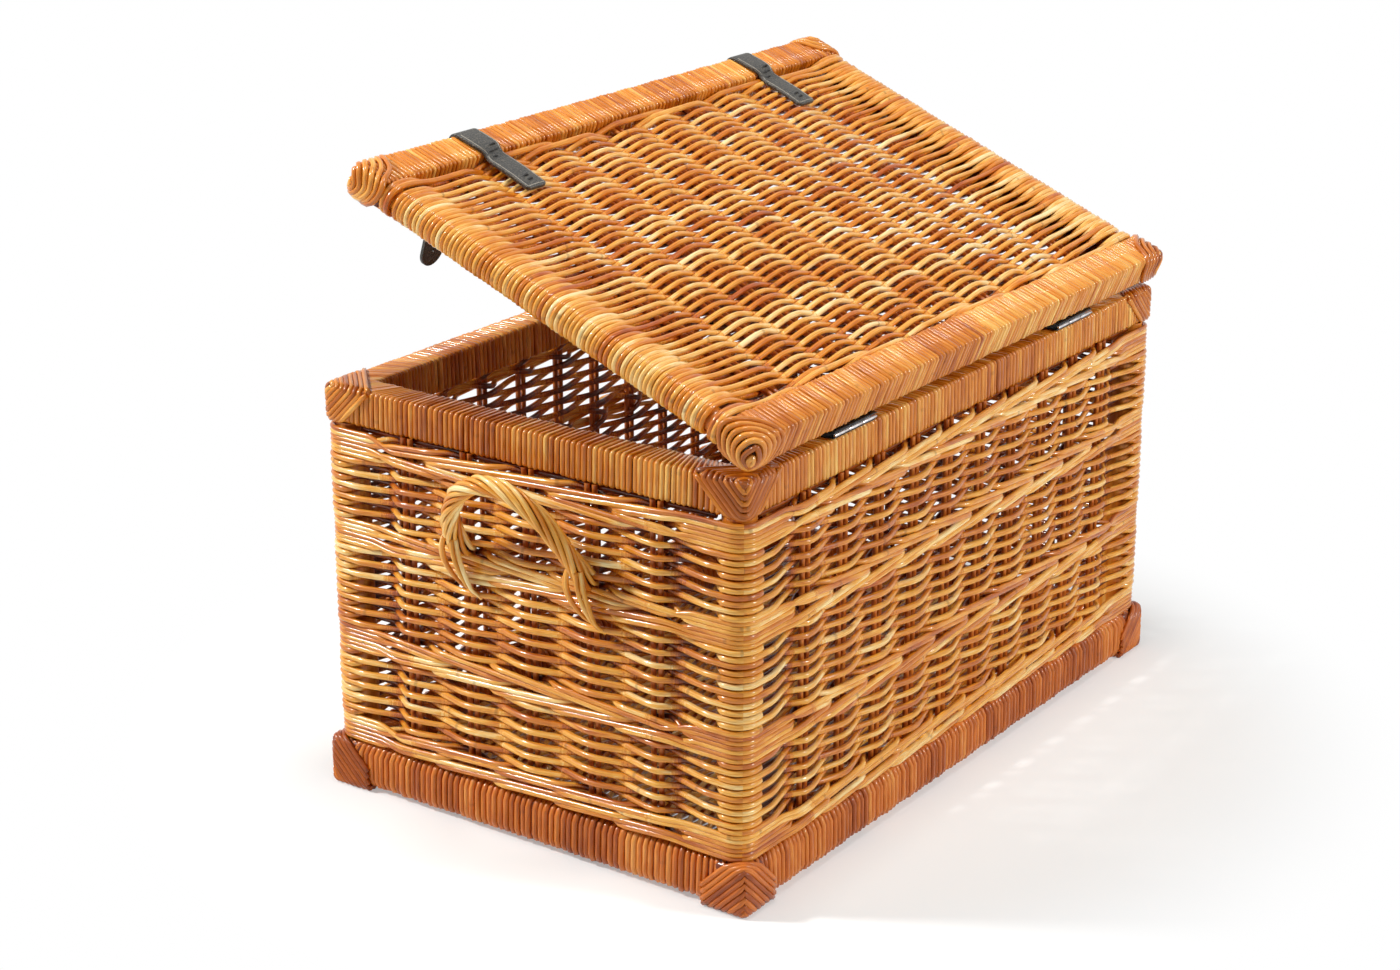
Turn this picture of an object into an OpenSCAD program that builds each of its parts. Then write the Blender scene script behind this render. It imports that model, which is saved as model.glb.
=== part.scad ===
// Rectangular willow hamper with a hinged lid, leather closing straps and two rope-twist end handles.
// Origin: centre of the footprint on the floor. +Z up, +X along the length, +Y towards the hinges.

/* [Body] */
// Length over the base corner knots
body_length = 600; // [480:5:760]
// Width over the base corner knots
body_width = 386; // [320:1:480]
// Height from the floor to the top of the rim bars
body_height = 321; // [260:1:420]
// How far the rim stands in from the base frame on every side
rim_inset = 5; // [3:0.5:16]

/* [Wrapped bars] */
// Width of a base bar
base_bar_w = 30; // [24:0.5:36]
// Height of a base bar
base_bar_h = 38; // [30:0.5:46]
// Width of a rim bar
rim_bar_w = 28; // [24:0.5:34]
// Height of a rim bar
rim_bar_h = 29; // [24:0.5:36]
// Width of the front and rear bars of the lid
lid_bar_w = 30; // [26:0.5:36]
// Height of the front and rear bars of the lid
lid_bar_h = 26; // [24:0.5:32]
// Corner radius of a wrapped bar
bar_round = 5; // [2:0.5:8]
// How far the corner knots stand proud of the bars
knot_proud = 1.25; // [1:0.25:2.5]
// Corner radius of a knot
knot_round = 8; // [5:0.5:10]

/* [Weave] */
// Diameter of an upright stake
stake_d = 4.2; // [3:0.1:5]
// Centre distance of the two stakes of a pair
pair_gap = 6.6; // [5.5:0.1:9]
// Thickness of a weaver rod, square to the wall
rod_t = 3.7; // [2.5:0.1:4.5]
// Thickness of a waling rod, square to the wall
wale_t = 5; // [4:0.1:6]
// Height of one row of weaving
row_pitch = 5; // [4.4:0.1:6]
// Gap between a rod and whatever it passes
weave_gap = 0.3; // [0.2:0.05:0.5]
// Diameter of the corner posts
post_d = 24; // [18:0.5:28]
// Stake pairs in the front and rear walls
long_pairs = 10; // [6:1:12]
// Centre distance of those pairs
long_spacing = 48; // [36:0.5:50]
// Stake pairs in each end wall
end_pairs = 5; // [3:1:6]
// Centre distance of the end wall pairs
end_spacing = 56; // [40:0.5:60]
// Inset of the stakes from the outer face of the rim bars
stake_inset = 3; // [2.5:0.25:5]
// Rows of waling in each band
wale_rows = 4; // [2:1:5]

/* [Base panel] */
// Height of one row of the base weave, laid flat
base_pitch = 12; // [8:0.5:16]

/* [Lid] */
// How far the lid stands open at rest, in degrees
lid_open = 22; // [5:1:60]
// Gap between the rim bars and the lid bars, closed
hinge_gap = 6; // [5.6:0.1:7]
// Width of one row of the lid weave
lid_pitch = 4.5; // [4:0.1:6]
// Diameter of the side poles that the lid weavers wrap
pole_d = 17; // [14:0.5:18]
// Height of the lid's stakes above the underside of the lid bars
lid_weave_height = 15; // [12:0.5:16]

/* [Hinges] */
// Distance of a hinge's middle from the near end of the body
hinge_inset = 140; // [110:5:200]
// Length of a hinge along its pin
hinge_length = 62; // [40:1:80]
// Width of a hinge leaf
leaf_w = 22; // [16:0.5:24]
// Thickness of a hinge leaf
leaf_t = 1.4; // [1:0.1:1.6]
// Outer diameter of the knuckles
knuckle_d = 5.2; // [4.6:0.1:5.4]
// Diameter of the hinge pin
pin_d = 2.5; // [1.6:0.1:2.8]
// Radial clearance of the pin in the lid leaf's knuckle
pin_clearance = 0.06; // [0.03:0.01:0.1]
// Shank diameter of a hinge screw
screw_d = 2.4; // [2:0.1:3]
// Length of a hinge screw below its head
screw_length = 13; // [8:0.5:16]

/* [Straps] */
// Width of a leather strap
strap_w = 24; // [18:0.5:30]
// Thickness of the leather
strap_t = 2.4; // [1.6:0.1:2.6]
// Length of strap on top of the lid, from the front face of the bar
strap_run = 78; // [60:1:110]
// Length of the hanging tail
tail_length = 86; // [70:1:100]
// Centre distance of the two straps
strap_spread = 356; // [240:1:380]
// Offset of the pair of straps along the lid
strap_shift = -2; // [-20:1:20]
// Angle by which the tails hang inside the lid's front face at rest
tail_lean = 5; // [0:0.5:6]
// Diameter of a rivet's head
rivet_d = 7; // [5:0.5:9]
// Diameter of the head of a closure stud
stud_head_d = 6.5; // [5:0.5:8]

/* [Handles] */
// Centre distance of a handle's two roots
handle_span = 112; // [90:1:130]
// Rise of a handle from its roots to the top of its arch
handle_rise = 68; // [50:1:80]
// How far the arch stands out from the wall
handle_reach = 33; // [22:1:40]
// Height of a handle's roots above the floor
handle_root_z = 222; // [170:1:225]
// Diameter of one twisted strand
strand_d = 5.8; // [4.5:0.1:6.2]

/* [Hidden] */
SIDES = ["front", "rear", "left", "right"];
CORNERS = ["front_left", "front_right", "rear_left", "rear_right"];
$fn = 48;

honey = "#e0913c";
amber = "#c9752a";
toffee = "#b5652a";
umber = "#9c5523";
black_leather = "#33322f";
black_steel = "#1d1d1f";

// Levels
base_top = knot_proud + base_bar_h;
rim_bottom = body_height - rim_bar_h;
lid_bottom = body_height + hinge_gap;
lid_top = lid_bottom + lid_bar_h;

// Half sizes over the bars and over the knots
base_half = [body_length / 2, body_width / 2];
rim_half = [base_half.x - rim_inset, base_half.y - rim_inset];
rim_face = [rim_half.x - knot_proud, rim_half.y - knot_proud];
base_face = [base_half.x - knot_proud, base_half.y - knot_proud];
wall_mid = [rim_face.x - stake_inset, rim_face.y - stake_inset];
base_knot_w = base_bar_w + 2 * knot_proud;
rim_knot_w = rim_bar_w + 2 * knot_proud;
lid_knot_w = lid_bar_w + knot_proud;

// Weave
stake_r = stake_d / 2;
post_r = post_d / 2;
post_at = [wall_mid.x - post_r + stake_r, wall_mid.y - post_r + stake_r];
pass_half = pair_gap / 2 + stake_r;
row_h = row_pitch - weave_gap;
first_row_z = base_top + weave_gap;
rows = floor((rim_bottom - first_row_z) / row_pitch);
low_wale = 0.29;
high_wale = 0.64;
wale_starts = [0, round(rows * low_wale), round(rows * high_wale), rows - wale_rows];
wave_facets = 2;

// Hinges
hinge_spread = body_length - 2 * hinge_inset;
hinge_axis = [rim_half.y, body_height + hinge_gap / 2];
knuckle_len = hinge_length / 3;
screw_head_d = 2 * screw_d;
screw_head_h = 0.8;
screw_pitch = hinge_length / 2;
bore_gap = 0.1;

// Straps
leather_gap = 0.3;
strap_lift = leather_gap + strap_t / 2;
tail_pivot = [-(rim_face.y + strap_lift), lid_bottom - strap_lift];
rivet_inset = 7;
rivet_shank_d = 3;
rivet_head_h = 1.2;
rivet_depth = 7;
stud_rows_down = 8;
stud_z = first_row_z + (rows - stud_rows_down) * row_pitch + row_h / 2;
stud_drop = tail_pivot.y - stud_z;
stud_shank_d = 2;
stud_flange_d = 12;
stud_flange_t = 1;
stud_head_t = 1.8;
stud_neck = 2;

function is_long(side) = side == "front" || side == "rear";
function spin_of(side) = side == "rear" ? 0 : side == "left" ? 90 : side == "front" ? 180 : 270;
function across(side) = is_long(side) ? 1 : 0;
function along(side) = is_long(side) ? 0 : 1;
function in_wale(k) = len([for (s = wale_starts) if (k >= s && k < s + wale_rows) 1]) > 0;
function arc(c, r, a0, a1, n) =
    [for (i = [0:n]) let (a = a0 + (a1 - a0) * i / n) [c.x + r * cos(a), c.y + r * sin(a)]];
function unit(p) = p / norm(p);
function left_normal(a, b) = let (d = unit(b - a)) [-d.y, d.x];

// Outline of a ribbon of thickness t that follows a path of 2D points
function ribbon(path, t) =
    let (
        n = len(path),
        side = [for (i = [0:n - 1])
            let (
                before = left_normal(path[max(i - 1, 0)], path[max(i, 1)]),
                after = left_normal(path[min(i, n - 2)], path[min(i + 1, n - 1)]),
                m = unit(before + after)
            ) m / (m * after)]
    )
    concat([for (i = [0:n - 1]) path[i] + side[i] * t / 2],
           [for (i = [n - 1:-1:0]) path[i] - side[i] * t / 2]);

// Two points for each stake pair, on the side of the stakes where the rod passes
function passes(n, spacing, level, t, fronts) = [
    for (i = [0:n - 1], e = [-1, 1])
        [(i - (n - 1) / 2) * spacing + e * pass_half,
         level + (fronts[i] ? 1 : -1) * (stake_r + weave_gap + t / 2)]
];
function randing(n, k) = [for (i = [0:n - 1]) (i + k) % 2 == 0];
function waling(n, k) = [for (i = [0:n - 1]) (i + k) % 3 != 0];

module rounded_rect(w, h, r) {
    square([w - 2 * r, h], center = true);
    square([w, h - 2 * r], center = true);
    for (x = [-1, 1], y = [-1, 1]) translate([x * (w / 2 - r), y * (h / 2 - r)]) circle(r);
}

// A wrapped bar along X, centred
module bar(length, w, h) {
    rotate([90, 0, 90]) linear_extrude(length, center = true) rounded_rect(w, h, bar_round);
}

// A block with all its edges rounded: the wrapped corner knot
module knot(w, h) {
    intersection() {
        linear_extrude(h, center = true) rounded_rect(w, w, knot_round);
        rotate([90, 0, 0]) linear_extrude(w, center = true) rounded_rect(w, h, knot_round);
        rotate([90, 0, 90]) linear_extrude(w, center = true) rounded_rect(w, h, knot_round);
    }
}

module at_corner(name, half, w) {
    x = (name == "front_right" || name == "rear_right") ? 1 : -1;
    y = (name == "rear_left" || name == "rear_right") ? 1 : -1;
    translate([x * (half.x - w / 2), y * (half.y - w / 2), 0]) children();
}

// Frame of a wall: X along it, Y outwards, at the given distance from the middle
module on_side(side, distance) {
    rotate([0, 0, spin_of(side)]) translate([0, distance, 0]) children();
}

module frame_bar(side, half, face, knot_w, w, h, bottom) {
    on_side(side, face[across(side)] - w / 2)
        translate([0, 0, bottom + h / 2]) bar(2 * (half[along(side)] - knot_w), w, h);
}

module base_bar(side) {
    color(umber) frame_bar(side, base_half, base_face, base_knot_w, base_bar_w, base_bar_h, knot_proud);
}

module rim_bar(side) {
    color(amber) difference() {
        frame_bar(side, rim_half, rim_face, rim_knot_w, rim_bar_w, rim_bar_h, rim_bottom);
        if (side == "rear") each_screw(body_height - screw_length) cylinder(screw_length + 1, d = screw_d + bore_gap);
    }
}

module base_knot(name) {
    color(umber) at_corner(name, base_half, base_knot_w)
        translate([0, 0, base_top / 2]) knot(base_knot_w, base_top);
}

module rim_knot(name) {
    height = rim_bar_h + knot_proud / 2;
    color(toffee) at_corner(name, rim_half, rim_knot_w)
        translate([0, 0, rim_bottom + height / 2]) knot(rim_knot_w, height);
}

module corner_posts() {
    color(amber) for (x = [-1, 1], y = [-1, 1])
        translate([x * post_at.x, y * post_at.y, base_top]) cylinder(rim_bottom - base_top, r = post_r);
}

function pairs(side) = is_long(side) ? long_pairs : end_pairs;
function spacing(side) = is_long(side) ? long_spacing : end_spacing;

module stakes(side) {
    n = pairs(side);
    color(toffee) difference() {
        on_side(side, wall_mid[across(side)])
            for (i = [0:n - 1], e = [-1, 1])
                translate([(i - (n - 1) / 2) * spacing(side) + e * pair_gap / 2, 0, base_top])
                    cylinder(rim_bottom - base_top, d = stake_d);
        if (side == "front") stud_bores();
    }
}

// One row of a wall: it passes before and behind the stakes and turns round the outside of both posts
module wall_row(side, t, fronts) {
    post = [post_at[along(side)], stake_r - post_r];
    r = post_r + weave_gap + t / 2;
    miter = 45 + asin((weave_gap + t * sin(22.5 / wave_facets)) / (2 * r));
    path = concat(
        arc([-post.x, post.y], r, 180 - miter, 90, wave_facets),
        passes(pairs(side), spacing(side), 0, t, fronts),
        arc(post, r, 90, miter, wave_facets));
    linear_extrude(row_h) polygon(ribbon(path, t));
}

module weave(side) {
    color(honey) difference() {
        on_side(side, wall_mid[across(side)])
            for (k = [0:rows - 1]) if (!in_wale(k))
                translate([0, 0, first_row_z + k * row_pitch])
                    wall_row(side, rod_t, randing(pairs(side), k));
        if (side == "front") stud_bores();
    }
}

module wales(side) {
    color(amber) on_side(side, wall_mid[across(side)])
        for (k = [0:rows - 1]) if (in_wale(k))
            translate([0, 0, first_row_z + k * row_pitch])
                wall_row(side, wale_t, waling(pairs(side), k));
}

// Base panel, held between the base bars
base_inner = [base_face.x - base_bar_w, base_face.y - base_bar_w];
base_level = knot_proud + base_bar_h / 2;

module cross_sticks(n, spacing, length) {
    for (i = [0:n - 1], e = [-1, 1])
        translate([(i - (n - 1) / 2) * spacing + e * pair_gap / 2, 0, 0])
            rotate([90, 0, 0]) cylinder(length, d = stake_d, center = true);
}

module base_sticks() {
    color(toffee) translate([0, 0, base_level]) cross_sticks(long_pairs, long_spacing, 2 * base_inner.y);
}

module flat_row(path, t, w) {
    rotate([90, 0, 0]) linear_extrude(w, center = true) polygon(ribbon(path, t));
}

module base_weave() {
    n = floor((2 * base_inner.y - weave_gap) / base_pitch);
    reach = base_inner.x - weave_gap;
    color(honey) for (k = [0:n - 1])
        translate([0, (k - (n - 1) / 2) * base_pitch, base_level])
            flat_row(concat([[-reach, 0]],
                            passes(long_pairs, long_spacing, 0, rod_t, randing(long_pairs, k)),
                            [[reach, 0]]),
                     rod_t, base_pitch - weave_gap);
}

// Rope-twist end handles: four strands laid round one arched line
strands = 4;
strand_facets = 6;
strand_r = strand_d / 2;
// Four round strands that touch lie this many strand radii off the middle, plus a hair
strand_lay = sqrt(2) + 0.066;
bundle_r = strand_r * strand_lay;
handle_steps = 24;
handle_turns = 1.5;
arch_power = 0.6;
wall_out = stake_r + weave_gap + wale_t;

// The arch leaves the wall square to it, then rises and crosses to the other root
function arch(s) =
    let (a = 180 * s)
    [wall_mid.x + wall_out + weave_gap + handle_reach * pow(max(sin(a), 0), arch_power),
     -handle_span / 2 * cos(a), handle_root_z + handle_rise * sin(a)];
// Steps crowd towards the roots, where the arch turns fastest
function arch_step(i) = let (u = i / handle_steps) u - sin(360 * u) / 9;
function arch_tangent(s) = s <= 0 ? [1, 0, 0] : s >= 1 ? [-1, 0, 0]
    : let (d = 0.004) unit(arch(min(s + d, 1)) - arch(max(s - d, 0)));
function ring(s, turn) =
    let (
        t = arch_tangent(s),
        lean = unit([handle_rise, 0, -handle_reach]),
        n = unit(cross(lean, t)),
        b = cross(t, n),
        c = arch(s) + bundle_r * (cos(turn) * n + sin(turn) * b)
    ) [for (a = [0:360 / strand_facets:359]) c + strand_r * (cos(a) * n + sin(a) * b)];

module strand(start) {
    m = strand_facets;
    points = [for (i = [0:handle_steps]) let (s = arch_step(i)) each ring(s, start + 360 * handle_turns * s)];
    sides = [for (i = [0:handle_steps - 1], j = [0:m - 1])
        [m * i + j, m * i + (j + 1) % m, m * (i + 1) + (j + 1) % m, m * (i + 1) + j]];
    polyhedron(points, concat([[for (j = [m - 1:-1:0]) j]], sides, [[for (j = [0:m - 1]) m * handle_steps + j]]));
}

module handle(side) {
    color(amber) rotate([0, 0, side == "left" ? 180 : 0])
        for (k = [0:strands - 1]) strand(360 * k / strands);
}

// Hinges
module each_hinge() {
    for (x = [-1, 1]) translate([x * hinge_spread / 2, 0, 0]) children();
}

module each_screw(z) {
    each_hinge() for (x = [-1, 1])
        translate([x * screw_pitch / 2, hinge_axis.x - leaf_w / 2 - knot_proud, z]) children();
}

module hinge_x(side) {
    translate([(side == "left" ? -1 : 1) * hinge_spread / 2, 0, 0]) children();
}

module knuckle(from, length) {
    translate([from, hinge_axis.x, hinge_axis.y]) rotate([0, 90, 0]) cylinder(length, d = knuckle_d);
}

module pin_bore(d) {
    translate([-hinge_length / 2 - 1, hinge_axis.x, hinge_axis.y])
        rotate([0, 90, 0]) cylinder(hinge_length + 2, d = d);
}

// Room for the other leaf's knuckle to turn
module knuckle_room(from, length) {
    translate([from - weave_gap, hinge_axis.x, hinge_axis.y])
        rotate([0, 90, 0]) cylinder(length + 2 * weave_gap, d = knuckle_d + 2 * weave_gap);
}

module leaf_plate(z) {
    translate([-hinge_length / 2, hinge_axis.x - leaf_w, z]) cube([hinge_length, leaf_w, leaf_t]);
}

module leaf_holes(z) {
    for (x = [-1, 1]) translate([x * screw_pitch / 2, hinge_axis.x - leaf_w / 2 - knot_proud, z - 1])
        cylinder(leaf_t + 2, d = screw_d + bore_gap);
}

module hinge_body_leaf(side) {
    color(black_steel) hinge_x(side) difference() {
        union() {
            difference() {
                leaf_plate(body_height);
                knuckle_room(-knuckle_len / 2, knuckle_len);
            }
            knuckle(-hinge_length / 2, knuckle_len - weave_gap);
            knuckle(knuckle_len / 2 + weave_gap, knuckle_len - weave_gap);
        }
        pin_bore(pin_d + 2 * pin_clearance);
        leaf_holes(body_height);
    }
}

module hinge_lid_leaf(side) {
    color(black_steel) lid_turn() hinge_x(side) difference() {
        union() {
            difference() {
                leaf_plate(lid_bottom - leaf_t);
                knuckle_room(-hinge_length / 2 - 1, knuckle_len + 1);
                knuckle_room(knuckle_len / 2, knuckle_len + 1);
            }
            knuckle(-knuckle_len / 2, knuckle_len);
        }
        pin_bore(pin_d + 2 * pin_clearance);
        leaf_holes(lid_bottom - leaf_t);
    }
}

module hinge_pins() {
    head = 1;
    color("silver") each_hinge() translate([-hinge_length / 2, hinge_axis.x, hinge_axis.y]) rotate([0, 90, 0]) {
        translate([0, 0, -head]) cylinder(hinge_length + 2 * head, d = pin_d);
        for (z = [-head, hinge_length]) translate([0, 0, z]) cylinder(head, d = knuckle_d - 1);
    }
}

module hinge_body_screws() {
    color("silver") each_screw(body_height) {
        translate([0, 0, leaf_t]) cylinder(screw_head_h, d = screw_head_d);
        translate([0, 0, leaf_t - screw_length]) cylinder(screw_length, d = screw_d);
    }
}

module hinge_lid_screws() {
    color("silver") lid_turn() each_screw(lid_bottom) {
        translate([0, 0, -leaf_t - screw_head_h]) cylinder(screw_head_h, d = screw_head_d);
        translate([0, 0, -leaf_t]) cylinder(screw_length, d = screw_d);
    }
}

// Lid: modelled closed, then turned open about the hinge pins
module lid_turn() {
    translate([0, hinge_axis.x, hinge_axis.y]) rotate([-lid_open, 0, 0])
        translate([0, -hinge_axis.x, -hinge_axis.y]) children();
}

module lid_bar(side) {
    color(amber) lid_turn() difference() {
        frame_bar(side, rim_half, rim_face, lid_knot_w, lid_bar_w, lid_bar_h, lid_bottom);
        if (side == "rear") each_screw(lid_bottom - 1) cylinder(screw_length + 1, d = screw_d + bore_gap);
        if (side == "front") each_strap() bar_rivet_place()
            translate([0, 0, -rivet_depth]) cylinder(rivet_depth + 1, d = rivet_shank_d + bore_gap);
    }
}

module lid_knot(name) {
    height = lid_bar_h + knot_proud;
    color(toffee) lid_turn() at_corner(name, rim_half, lid_knot_w)
        translate([0, 0, lid_bottom - knot_proud / 2 + height / 2]) knot(lid_knot_w, height);
}

lid_inner = rim_face.y - lid_bar_w;
pole_r = pole_d / 2;
pole_at = [rim_half.x - pole_r - weave_gap - rod_t, lid_bottom + lid_bar_h / 2];
lid_level = lid_bottom + lid_weave_height;
lid_rows = floor((2 * lid_inner - weave_gap) / lid_pitch);

module lid_pole(side) {
    color(amber) lid_turn() translate([(side == "left" ? -1 : 1) * pole_at.x, 0, pole_at.y])
        rotate([90, 0, 0]) cylinder(2 * lid_inner, r = pole_r, center = true);
}

module lid_stakes() {
    color(toffee) lid_turn() translate([0, 0, lid_level]) cross_sticks(long_pairs, long_spacing, 2 * lid_inner);
}

// One row of the lid: each end laps over a side pole and down its outer side
module lid_row(k, t, fronts) {
    lap_facets = 3;
    r = (pole_r + weave_gap + rod_t / 2) / cos(45 / lap_facets);
    path = concat(
        arc([-pole_at.x, pole_at.y], r, 180, 90, lap_facets),
        passes(long_pairs, long_spacing, lid_level, t, fronts),
        arc(pole_at, r, 90, 0, lap_facets));
    translate([0, (k - (lid_rows - 1) / 2) * lid_pitch, 0]) flat_row(path, t, lid_pitch - weave_gap);
}

function lid_wale_row(k) = k < 2 || k >= lid_rows - 2;

module lid_weave() {
    color(honey) lid_turn() for (k = [0:lid_rows - 1]) if (!lid_wale_row(k))
        lid_row(k, rod_t, randing(long_pairs, k));
}

module lid_wales() {
    color(amber) lid_turn() for (k = [0:lid_rows - 1]) if (lid_wale_row(k))
        lid_row(k, rod_t, waling(long_pairs, k));
}

// Straps
strap_level = lid_weave_height + stake_r + weave_gap + rod_t + strap_lift;

module strap_x(side) {
    translate([strap_shift + (side == "left" ? -1 : 1) * strap_spread / 2, 0, 0]) children();
}

module each_strap() {
    for (side = ["left", "right"]) strap_x(side) children();
}

module bar_rivet_place() {
    translate([0, -rim_face.y + lid_bar_w - rivet_inset - bar_round / 2, lid_top]) children();
}

module end_rivet_place() {
    translate([0, -rim_face.y + strap_run - rivet_inset, lid_bottom + strap_level - strap_lift]) children();
}

// Side view of the strap: up the front face, round the edge of the bar, over it and down to the weave
module strap_outline() {
    path = concat(
        [[-strap_lift, strap_t / 2 + leather_gap - strap_lift]],
        arc([bar_round, lid_bar_h - bar_round], bar_round + strap_lift, 180, 90, 4),
        [[lid_bar_w - bar_round / 2, lid_bar_h + strap_lift],
         [lid_bar_w + bar_round, strap_level],
         [strap_run, strap_level]]);
    polygon(ribbon(path, strap_t));
}

module lid_strap(side) {
    chamfer = 5;
    color(black_leather) lid_turn() strap_x(side) difference() {
        translate([0, -rim_face.y, lid_bottom]) rotate([90, 0, 90])
            linear_extrude(strap_w, center = true) strap_outline();
        for (x = [-1, 1]) translate([x * strap_w / 2, -rim_face.y + strap_run, lid_bottom])
            rotate([0, 0, 45]) cube([chamfer * sqrt(2), chamfer * sqrt(2), 4 * lid_bar_h], center = true);
        bar_rivet_place() translate([0, 0, -1]) cylinder(strap_t + 2, d = rivet_shank_d + bore_gap);
        end_rivet_place() cylinder(strap_t + 1, d = rivet_shank_d + bore_gap);
    }
}

// Hanging end of a strap: a rounded tongue with a slit stud hole, bending at the lower front edge of the lid
module strap_tail(side) {
    slit_w = 1;
    slit_length = 7;
    color(black_leather) lid_turn() strap_x(side) translate([0, tail_pivot.x, tail_pivot.y])
        rotate([tail_lean, 0, 0]) {
            rotate([0, 90, 0]) cylinder(strap_w, d = strap_t, center = true);
            rotate([90, 0, 0]) linear_extrude(strap_t, center = true) difference() {
                union() {
                    translate([-strap_w / 2, strap_w / 2 - tail_length]) square([strap_w, tail_length - strap_w / 2]);
                    translate([0, strap_w / 2 - tail_length]) circle(d = strap_w);
                }
                translate([0, -stud_drop]) circle(d = stud_shank_d + bore_gap);
                translate([-slit_w / 2, -stud_drop]) square([slit_w, slit_length]);
            }
        }
}

module rivet(head, depth) {
    translate([0, 0, head]) cylinder(rivet_head_h, d1 = rivet_d, d2 = rivet_d * 0.6);
    translate([0, 0, -depth]) cylinder(head + depth, d = rivet_shank_d);
}

module strap_rivets() {
    color(black_steel) lid_turn() each_strap() {
        bar_rivet_place() rivet(leather_gap + strap_t, rivet_depth);
        end_rivet_place() translate([0, 0, leather_gap]) rivet(strap_t, 0);
    }
}

// Studs riveted through the front wall, where the tails button down
module at_studs() {
    each_strap() translate([0, -wall_mid.y, stud_z]) rotate([90, 0, 0]) children();
}

// Room for the studs' shanks through the front wall
module stud_bores() {
    at_studs() cylinder(4 * (stake_r + rod_t), d = stud_shank_d + bore_gap, center = true);
}

module closure_studs() {
    out = stake_r + weave_gap + rod_t + weave_gap;
    neck = out + stud_flange_t + stud_neck;
    color(black_steel) at_studs() {
        translate([0, 0, -out]) cylinder(out + neck, d = stud_shank_d);
        translate([0, 0, -out - stud_flange_t]) cylinder(stud_flange_t, d = stud_flange_d);
        translate([0, 0, out]) cylinder(stud_flange_t, d = stud_flange_d);
        translate([0, 0, neck]) cylinder(stud_head_t, d = stud_head_d);
    }
}

for (s = SIDES) {
    base_bar(s);
    rim_bar(s);
    stakes(s);
    weave(s);
    wales(s);
}
for (c = CORNERS) {
    base_knot(c);
    rim_knot(c);
    lid_knot(c);
}
for (s = ["left", "right"]) {
    handle(s);
    hinge_body_leaf(s);
    hinge_lid_leaf(s);
    lid_pole(s);
    lid_strap(s);
    strap_tail(s);
}
for (s = ["front", "rear"]) lid_bar(s);
corner_posts();
base_sticks();
base_weave();
hinge_pins();
hinge_body_screws();
hinge_lid_screws();
lid_stakes();
lid_weave();
lid_wales();
strap_rivets();
closure_studs();
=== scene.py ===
import math
import random

import bmesh
import bpy
import numpy as np
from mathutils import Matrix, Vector


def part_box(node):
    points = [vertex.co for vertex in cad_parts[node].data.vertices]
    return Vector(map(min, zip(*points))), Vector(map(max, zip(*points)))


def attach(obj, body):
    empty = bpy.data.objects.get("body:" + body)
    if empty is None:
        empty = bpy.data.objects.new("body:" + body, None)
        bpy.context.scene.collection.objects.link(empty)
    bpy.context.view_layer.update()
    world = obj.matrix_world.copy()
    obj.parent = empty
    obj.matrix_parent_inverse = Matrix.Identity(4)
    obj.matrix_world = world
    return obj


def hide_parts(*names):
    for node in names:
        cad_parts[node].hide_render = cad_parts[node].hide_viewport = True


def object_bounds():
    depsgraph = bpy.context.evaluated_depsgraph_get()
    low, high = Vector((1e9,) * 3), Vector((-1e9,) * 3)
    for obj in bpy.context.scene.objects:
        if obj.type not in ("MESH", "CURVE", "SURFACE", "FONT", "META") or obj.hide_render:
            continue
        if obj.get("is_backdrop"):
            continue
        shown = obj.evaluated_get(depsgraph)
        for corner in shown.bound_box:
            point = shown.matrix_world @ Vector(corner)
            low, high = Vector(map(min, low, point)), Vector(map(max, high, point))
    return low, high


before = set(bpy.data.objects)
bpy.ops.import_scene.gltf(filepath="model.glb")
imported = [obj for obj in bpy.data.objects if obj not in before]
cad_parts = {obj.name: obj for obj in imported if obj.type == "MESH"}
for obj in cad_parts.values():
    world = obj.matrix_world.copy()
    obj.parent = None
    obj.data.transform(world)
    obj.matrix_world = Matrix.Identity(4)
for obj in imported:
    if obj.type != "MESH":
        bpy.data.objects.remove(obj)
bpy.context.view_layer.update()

MM = 0.001
SIDES = ("front", "rear", "left", "right")
LONG_SIDES = ("front", "rear")
ENDS = ("left", "right")
CORNERS = ("front_left", "front_right", "rear_left", "rear_right")
SPIN = {"rear": 0, "left": 90, "front": 180, "right": 270}
chance = random.Random(20)


# ---------------- sizes, in millimetres
def box_mm(node):
    low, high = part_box(node)
    return np.array(low) / MM, np.array(high) / MM


STAKE_R = 2.1
PAIR_HALF = 3.3
# Half of the stretch over which a rod stays in front of or behind a pair of stakes
HOLD = PAIR_HALF + 0.5
ROD_GAP = 0.3
ROW_PITCH = 5.0
POST_R = 12.0
LONG_PAIRS, END_PAIRS = 10, 5

rear_low, rear_high = box_mm("stakes_rear")
right_low, right_high = box_mm("stakes_right")
WALL_Y = (rear_low[1] + rear_high[1]) / 2
WALL_X = (right_low[0] + right_high[0]) / 2
LONG_SPACING = 2 * (rear_high[0] - STAKE_R - PAIR_HALF) / (LONG_PAIRS - 1)
END_SPACING = 2 * (right_high[1] - STAKE_R - PAIR_HALF) / (END_PAIRS - 1)
BASE_TOP, RIM_BOTTOM = rear_low[2], rear_high[2]
RIM_TOP = box_mm("rim_bar_front")[1][2]
FIRST_ROW = BASE_TOP + ROD_GAP
ROWS = int((RIM_BOTTOM - FIRST_ROW) / ROW_PITCH)
WALE_ROWS = 4
WALE_STARTS = (0, 15, 32, ROWS - WALE_ROWS)

HINGE_GAP, HINGE_Y = 6.0, 188.0
HINGE_Z = RIM_TOP + HINGE_GAP / 2
LID_OPEN = math.radians(22)
LID_BAR_H, LID_BAR_W = 26.0, 30.0
LID_BOTTOM = RIM_TOP + HINGE_GAP
LID_TOP = LID_BOTTOM + LID_BAR_H
LID_HALF_X, LID_HALF_Y = 295.0, 188.0
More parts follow.
